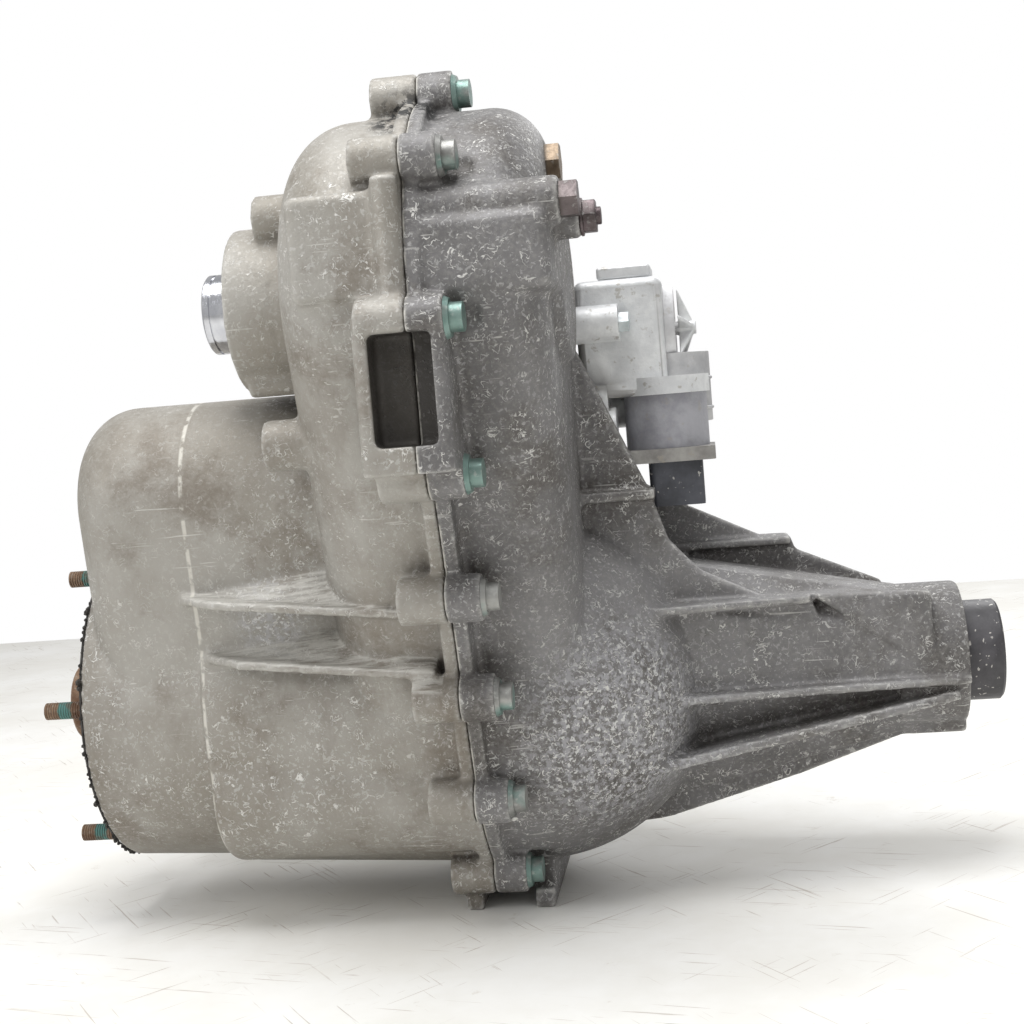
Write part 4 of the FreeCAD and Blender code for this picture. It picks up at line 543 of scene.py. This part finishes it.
def steel_material(name, pale, dark, rough_low, rough_high, lathe_scale=130.0, metal=0.9):
    """Turned steel, with fine rings from the lathe that are closer for a higher lathe_scale."""
    material, tree, shader = new_material(name)
    place = object_place(tree)
    film = ramp(tree, noise(tree, place, 35.0, 6.0, 0.6), 0.35, 0.7)
    base = blend_colour(tree, film, dark, pale)
    lathe = noise(tree, object_place(tree, (14.0, 1.0, 1.0)), lathe_scale, 3.0, 0.6)
    base = blend_colour(tree, combine(tree, ramp(tree, lathe, 0.45, 0.7), 0.2), base, (0.8, 0.8, 0.8))
    tree.links.new(base, shader.inputs["Base Color"])
    tree.links.new(ramp(tree, lathe, 0.3, 0.7, rough_low, rough_high), shader.inputs["Roughness"])
    shader.inputs["Metallic"].default_value = metal
    add_bump(tree, shader, lathe, 0.00012, 0.4)
    return material


oiled_steel = steel_material("oiled_steel", (0.42, 0.41, 0.39), (0.16, 0.15, 0.13), 0.22, 0.42)
inner_steel = [
    "main_shaft", "ring_gear", "planet_gear_1", "planet_gear_2", "planet_gear_3", "planet_gear_4",
    "planet_carrier", "planet_pins", "range_collar", "ball_ramp_fixed_cam", "ball_ramp_balls",
    "ball_ramp_turning_cam", "cam_thrust_bearing", "pressure_plate", "clutch_steel_plates", "clutch_hub",
    "clutch_drum", "drive_sprocket", "sprocket_needle_bearing", "driven_sprocket", "drive_chain",
    "oil_pump_body", "oil_pump_rotor", "oil_pickup_tube", "shift_rail", "range_fork", "sector_cam",
    "shift_shaft"]
dress(inner_steel, oiled_steel)


# ---- Bearings ----
# Ball bearings of polished bearing steel. They sit in machined bores behind the seals, and only
# their ring faces can be seen.

bearing_steel = steel_material(
    "polished_bearing_steel", (0.62, 0.62, 0.62), (0.40, 0.39, 0.38), 0.12, 0.28, 190.0)
dress(["input_bearing", "front_output_bearing", "rear_bearing", "front_pilot_bearing"], bearing_steel)


# ---- Front output journal ----
# The sleeve that the front propeller shaft's joint fits over: ground and polished, with one fine
# groove for its snap ring. The boss behind it holds the seal and the bearing.

journal_steel = steel_material(
    "polished_journal_steel", (0.78, 0.79, 0.82), (0.50, 0.51, 0.55), 0.10, 0.22, 330.0, 1.0)
dress(["front_output_shaft"], journal_steel)


def set_back_copy(name, node_name, material, body):
    """A copy of a node that follows the mouth of the front output's boss."""
    piece = copy_of(name, node_name)
    bpy.ops.object.mode_set(mode="EDIT")
    bpy.ops.mesh.select_all(action="SELECT")
    bpy.ops.transform.translate(value=(boss_set_back, 0.0, 0.0))
    bpy.ops.object.mode_set(mode="OBJECT")
    bpy.ops.object.shade_smooth_by_angle(angle=math.radians(35))
    piece.data.materials.clear()
    piece.data.materials.append(material)
    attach(piece, body)
    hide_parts(node_name)


set_back_copy("front_output_bearing_set", "front_output_bearing", bearing_steel, "housing")


# ---- Seals and rubber boot ----
# Lip seals of black rubber in the input and front output bores, and the rubber boot over the rear
# yoke, which the road has speckled with grit.

def rubber_material(name, colour, speckle):
    """Dull rubber with pale specks of grit."""
    material, tree, shader = new_material(name)
    place = object_place(tree)
    bloom = ramp(tree, noise(tree, place, 26.0, 6.0, 0.65), 0.4, 0.72)
    base = blend_colour(tree, bloom, colour, tuple(part * 2.2 + 0.02 for part in colour))
    grit = noise(tree, place, 340.0, 2.0, 0.5, 0.4)
    specks = combine(tree, ramp(tree, grit, 0.66, 0.70), speckle)
    base = blend_colour(tree, specks, base, (0.60, 0.58, 0.54))
    tree.links.new(base, shader.inputs["Base Color"])
    tree.links.new(ramp(tree, bloom, 0.0, 1.0, 0.45, 0.7), shader.inputs["Roughness"])
    add_bump(tree, shader, grit, 0.0003, 0.5)
    return material


seal_rubber = rubber_material("black_seal_rubber", (0.022, 0.021, 0.021), 0.3)
dress(["input_seal"], seal_rubber)
set_back_copy("front_output_seal_set", "front_output_seal", seal_rubber, "housing")
dress(["rear_seal_boot"], rubber_material("speckled_boot_rubber", (0.040, 0.038, 0.042), 0.9))


# ---- Input flange: gasket, studs and hub ----
# The paper gasket has been scraped off in crumbs. Six studs are rusted, their ends still dabbed with
# green thread paint, and the splined hub behind the seal has a brown skin of rust.

def rust_material(name, thread_pitch=0.0, paint_x=None):
    """A brown flaking skin; threads of a given pitch and a band of green paint from paint_x on demand."""
    material, tree, shader = new_material(name)
    place = object_place(tree)
    bloom = ramp(tree, noise(tree, place, 60.0, 6.0, 0.65), 0.35, 0.68)
    base = blend_colour(tree, bloom, (0.13, 0.065, 0.035), (0.30, 0.20, 0.13))
    flake = noise(tree, place, 380.0, 3.0, 0.6)
    base = blend_colour(tree, combine(tree, ramp(tree, flake, 0.5, 0.7), 0.5), base, (0.42, 0.37, 0.31))
    height = flake
    if paint_x is not None:
        split = node(tree, "ShaderNodeSeparateXYZ")
        tree.links.new(place, split.inputs[0])
        ragged = combine(tree, split.outputs["X"], combine(tree, flake, 0.004), "ADD")
        paint = combine(tree, ramp(tree, ragged, paint_x, paint_x + 0.0012),
                        ramp(tree, ragged, paint_x + 0.0075, paint_x + 0.009, 1.0, 0.0))
        paint = combine(tree, paint, ramp(tree, bloom, 0.1, 0.5, 0.35, 0.9))
        base = blend_colour(tree, paint, base, (0.09, 0.27, 0.25))
    if thread_pitch:
        wave = node(tree, "ShaderNodeTexWave", Scale=math.pi / (10.0 * thread_pitch), Distortion=0.0)
        wave.bands_direction = "X"
        tree.links.new(place, wave.inputs["Vector"])
        height = combine(tree, combine(tree, wave.outputs["Fac"], 1.6), flake, "ADD")
        # The roots of the threads are darkened: painted shade.
        thread_root_shade = ramp(tree, wave.outputs["Fac"], 0.45, 0.1)
        base = blend_colour(tree, combine(tree, thread_root_shade, 0.5), base, (0.05, 0.03, 0.02))
    tree.links.new(base, shader.inputs["Base Color"])
    tree.links.new(ramp(tree, flake, 0.3, 0.7, 0.55, 0.8), shader.inputs["Roughness"])
    shader.inputs["Metallic"].default_value = 0.35
    add_bump(tree, shader, height, 0.0006, 0.8)
    return material


stud_tip_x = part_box("input_studs")[0][0]
dress(["input_studs"], rust_material("rusted_stud_steel", 0.0015, stud_tip_x + 0.010))
dress(["input_shaft"], rust_material("rusted_hub_steel"))


def gasket_material():
    """Dark gasket paper, torn into small lumps."""
    material, tree, shader = new_material("scraped_gasket_paper")
    place = object_place(tree)
    crumb = noise(tree, place, 160.0, 5.0, 0.7)
    base = blend_colour(tree, ramp(tree, crumb, 0.42, 0.6), (0.03, 0.028, 0.026), (0.07, 0.065, 0.06))
    tree.links.new(base, shader.inputs["Base Color"])
    shader.inputs["Roughness"].default_value = 0.85
    add_bump(tree, shader, crumb, 0.001, 1.0)
    return material


gasket_paper = gasket_material()
dress(["input_gasket"], gasket_paper)

# Crumbs of old gasket that hang on round the rim of the flange, each a torn lump of its own.
gasket_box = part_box("input_gasket")
gasket_back = gasket_box[1][0]
rim = (gasket_box[1][2] - gasket_box[0][2]) / 2
crumb_count = 120
golden_angle = 2.399963


def scattered(number):
    """A share from 0 to 1 that jumps about from one number to the next, the same on each run."""
    wander = math.sin(number * 12.9898) * 43758.5453
    return wander - math.floor(wander)


def gasket_crumb(number):
    """One torn lump at its place on the rim."""
    turn = number * golden_angle
    share = scattered(number)
    out = rim - 0.0004 + 0.0009 * math.sin(number * 7.3)
    bpy.ops.mesh.primitive_ico_sphere_add(subdivisions=1, radius=0.0007 + 0.0012 * share, location=(
        gasket_back - 0.0006 - 0.0006 * share, out * math.cos(turn), out * math.sin(turn)))
    crumb = bpy.context.object
    bpy.ops.object.mode_set(mode="EDIT")
    bpy.ops.mesh.select_all(action="SELECT")
    bpy.ops.transform.rotate(value=number * 1.7, orient_axis="Z", center_override=crumb.location)
    bpy.ops.transform.resize(value=(0.8, 1.0 + share, 0.7 + 0.5 * share), center_override=crumb.location)
    bpy.ops.object.mode_set(mode="OBJECT")
    return crumb


bpy.ops.object.select_all(action="DESELECT")
crumbs = [gasket_crumb(number) for number in range(crumb_count)]
join_into(crumbs[0], crumbs[1:])
bpy.ops.object.transform_apply(location=True, rotation=True, scale=True)
gasket_crumbs = bpy.context.object
gasket_crumbs.name = "gasket_crumbs"
gasket_crumbs.data.materials.append(gasket_paper)
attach(gasket_crumbs, "housing")


# ---- Bolts and plug ----
# Flange bolts of zinc-plated steel clamp the seam. Their locking compound has left a green tint round
# the heads. The filler plug is brown oxide, and the actuator's bolts are bright.

def plated_material(name, pale, dull, tint, tint_amount):
    """Plated steel, tinted in patches, rubbed bright in specks and darkened with painted shade in its inner
    corners.
    """
    material, tree, shader = new_material(name)
    place = object_place(tree)
    cloud = ramp(tree, noise(tree, place, 55.0, 5.0, 0.6), 0.38, 0.66)
    base = blend_colour(tree, cloud, pale, dull)
    elsewhere = object_place(tree, shift=(0.3, 0.9, 0.2))
    tinted = ramp(tree, noise(tree, elsewhere, 38.0, 3.0, 0.5), 0.44, 0.58)
    base = blend_colour(tree, combine(tree, tinted, tint_amount), base, tint)
    rub = noise(tree, place, 300.0, 4.0, 0.65)
    base = blend_colour(tree, combine(tree, ramp(tree, rub, 0.55, 0.72), 0.4), base, (0.66, 0.66, 0.64))
    # Concave corners are darkened toward near black: painted shade.
    corner = node(tree, "ShaderNodeNewGeometry")
    painted_corner_shade = ramp(tree, corner.outputs["Pointiness"], 0.49, 0.44)
    base = blend_colour(tree, combine(tree, painted_corner_shade, 0.6), base, (0.07, 0.06, 0.05))
    tree.links.new(base, shader.inputs["Base Color"])
    tree.links.new(ramp(tree, rub, 0.3, 0.7, 0.3, 0.55), shader.inputs["Roughness"])
    shader.inputs["Metallic"].default_value = 0.55
    add_bump(tree, shader, rub, 0.0003, 0.5)
    return material


dress(["case_bolts"], plated_material(
    "zinc_with_green_compound", (0.37, 0.37, 0.355), (0.20, 0.20, 0.19), (0.11, 0.29, 0.25), 0.55))
tarnished = plated_material(
    "tarnished_cover_bolt", (0.15, 0.125, 0.125), (0.07, 0.055, 0.055), (0.16, 0.12, 0.13), 0.5)
dress(["side_cover_bolt"], tarnished)

# The stud beside the cover bolt ends in a low hexagon nut on its washer.
stud_nut = rod_along_x(6, 0.0092, 0.007, (0.3215, stud_y, stud_z))
stud_nut.name = "cover_stud_nut"
washer = rod_along_x(32, 0.0098, 0.0016, (0.3175, stud_y, stud_z))
stud_end = rod_along_x(24, 0.0046, 0.012, (0.3215, stud_y, stud_z))
join_into(stud_nut, [washer, stud_end])
bpy.ops.object.transform_apply(location=True, rotation=True, scale=True)
bevel_edges(0.0005)
bpy.ops.object.shade_smooth_by_angle(angle=math.radians(35))
stud_nut.data.materials.append(tarnished)
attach(stud_nut, "housing")

dress(["fill_plug"], plated_material(
    "brown_oxide_plug", (0.24, 0.18, 0.125), (0.10, 0.07, 0.045), (0.34, 0.29, 0.23), 0.35))
dress(["actuator_bolts"], plated_material(
    "bright_zinc", (0.60, 0.63, 0.64), (0.42, 0.44, 0.45), (0.36, 0.50, 0.52), 0.4))


# ---- Tail bushing, clutch linings and strainer ----
# A sintered bronze bushing carries the rear yoke. The clutch plates are faced with brown paper lining,
# and a fine screen strains the oil that the pump draws up.

dress(["tail_bushing"], steel_material("sintered_bronze", (0.55, 0.36, 0.17), (0.30, 0.18, 0.08), 0.35, 0.5))
dress(["clutch_friction_plates"], rust_material("paper_lining"))
dress(["oil_strainer"], steel_material(
    "strainer_steel", (0.40, 0.40, 0.38), (0.18, 0.17, 0.15), 0.4, 0.6, 430.0))


# ---- Shift actuator ----
# A die-cast aluminium gear housing with a flat cover, a drawn steel motor held by a strap clamp, and a
# black moulded connector. It is newer and cleaner than the case, with painted shade darkening its corners.

def bright_cast(name, pale, dark, dirt):
    """Clean die-cast metal with painted shade in its inner corners and specks of dirt."""
    material, tree, shader = new_material(name)
    place = object_place(tree)
    cloud = ramp(tree, noise(tree, place, 30.0, 6.0, 0.65), 0.36, 0.64)
    base = blend_colour(tree, cloud, pale, dark)
    # Concave corners are darkened: painted shade.
    corner = node(tree, "ShaderNodeNewGeometry")
    painted_corner_shade = ramp(tree, corner.outputs["Pointiness"], 0.49, 0.45)
    base = blend_colour(tree, combine(tree, painted_corner_shade, 0.7), base, (0.20, 0.19, 0.18))
    spots = ramp(tree, noise(tree, place, 170.0, 3.0, 0.6), 0.60, 0.70)
    base = blend_colour(tree, combine(tree, spots, dirt), base, (0.36, 0.33, 0.28))
    grain = noise(tree, place, 520.0, 3.0, 0.6)
    tree.links.new(base, shader.inputs["Base Color"])
    tree.links.new(ramp(tree, grain, 0.3, 0.7, 0.38, 0.6), shader.inputs["Roughness"])
    shader.inputs["Metallic"].default_value = 0.3
    add_bump(tree, shader, grain, 0.0004, 0.6)
    return material


clean_cast = bright_cast("clean_die_cast", (0.86, 0.87, 0.87), (0.66, 0.67, 0.68), 0.6)
dress(["actuator_body", "actuator_top_plate"], clean_cast)
dress(["motor_clamp"], bright_cast("grey_clamp", (0.40, 0.39, 0.37), (0.22, 0.21, 0.20), 0.7))
dress(["actuator_cover"], bright_cast("satin_cover", (0.72, 0.72, 0.73), (0.52, 0.52, 0.53), 0.3))
dress(["actuator_motor"], bright_cast("drawn_motor_can", (0.42, 0.42, 0.45), (0.28, 0.28, 0.31), 0.4))
dress(["actuator_connector"], rubber_material("moulded_black_plastic", (0.035, 0.037, 0.045), 0.6))

# Six fins and a hub stand out of the round cover like a star.
cover_low, cover_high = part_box("actuator_cover")
cover_y, cover_z = (cover_low[1] + cover_high[1]) / 2, (cover_low[2] + cover_high[2]) / 2
cover_reach = (cover_high[1] - cover_low[1]) / 2
hub_height = 0.009
fin_thick = 0.0024
fin_count = 6
star_root = cover_high[0] - 0.001


def cover_fin(number):
    """One fin that falls from the hub to the cover's rim."""
    outline = [(star_root, cover_y), (star_root + hub_height, cover_y),
               (star_root + hub_height, cover_y + 0.003), (star_root, cover_y + cover_reach * 0.93)]
    fin = flat_rib("cover_fin_%d" % number, [(x, y, cover_z - fin_thick / 2) for x, y in outline], fin_thick)
    bpy.ops.object.mode_set(mode="EDIT")
    bpy.ops.mesh.select_all(action="SELECT")
    bpy.ops.transform.rotate(value=math.radians(360 / fin_count * number + 15), orient_axis="X",
                             center_override=(star_root, cover_y, cover_z))
    bpy.ops.object.mode_set(mode="OBJECT")
    return fin


fins = [cover_fin(number) for number in range(fin_count)]
cover_star = rod_along_x(24, 0.0042, hub_height + 0.003, (star_root + hub_height / 2, cover_y, cover_z))
cover_star.name = "cover_star"
bpy.ops.object.transform_apply(location=True, rotation=True, scale=True)
join_into(cover_star, fins)
modify(cover_star, "REMESH", mode="VOXEL", voxel_size=0.0005)
modify(cover_star, "SMOOTH", factor=0.5, iterations=3)
modify(cover_star, "DECIMATE", ratio=0.4)
lone(cover_star)
bpy.ops.object.shade_smooth()
cover_star.data.materials.append(clean_cast)
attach(cover_star, "housing")

# The gear drum stands behind the cover: a turned cap with a raised rim and two bands round its wall.
drum_x, drum_y = 0.3515, 0.006
drum_low, drum_high, drum_radius = 0.150, 0.192, 0.0255
bpy.ops.object.select_all(action="DESELECT")
bpy.ops.mesh.primitive_cylinder_add(vertices=72, radius=drum_radius, depth=drum_high - drum_low,
                                    location=(drum_x, drum_y, (drum_low + drum_high) / 2))
gear_drum = bpy.context.object
gear_drum.name = "gear_drum"
bpy.ops.object.transform_apply(location=True, rotation=True, scale=True)
bpy.ops.object.mode_set(mode="EDIT")
bpy.ops.mesh.select_all(action="DESELECT")
bpy.ops.object.mode_set(mode="OBJECT")
for face in gear_drum.data.polygons:
    face.select = face.normal.z > 0.9
bpy.ops.object.mode_set(mode="EDIT")
for inset, step in ((0.0025, -0.0015), (0.012, 0.002)):
    bpy.ops.mesh.inset(thickness=inset)
    bpy.ops.mesh.extrude_region_move(TRANSFORM_OT_translate={"value": (0.0, 0.0, step)})
bpy.ops.object.mode_set(mode="OBJECT")
bevel_edges(0.0006)
bands = []
for height in (0.158, 0.176):
    bpy.ops.mesh.primitive_torus_add(major_segments=72, minor_segments=10, major_radius=drum_radius,
                                     minor_radius=0.0011, location=(drum_x, drum_y, height))
    bands.append(bpy.context.object)
join_into(gear_drum, bands)
bpy.ops.object.transform_apply(location=True, rotation=True, scale=True)
bpy.ops.object.shade_smooth_by_angle(angle=math.radians(35))
gear_drum.data.materials.append(bright_cast("satin_gear_drum", (0.60, 0.60, 0.60), (0.42, 0.42, 0.43), 0.4))
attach(gear_drum, "housing")
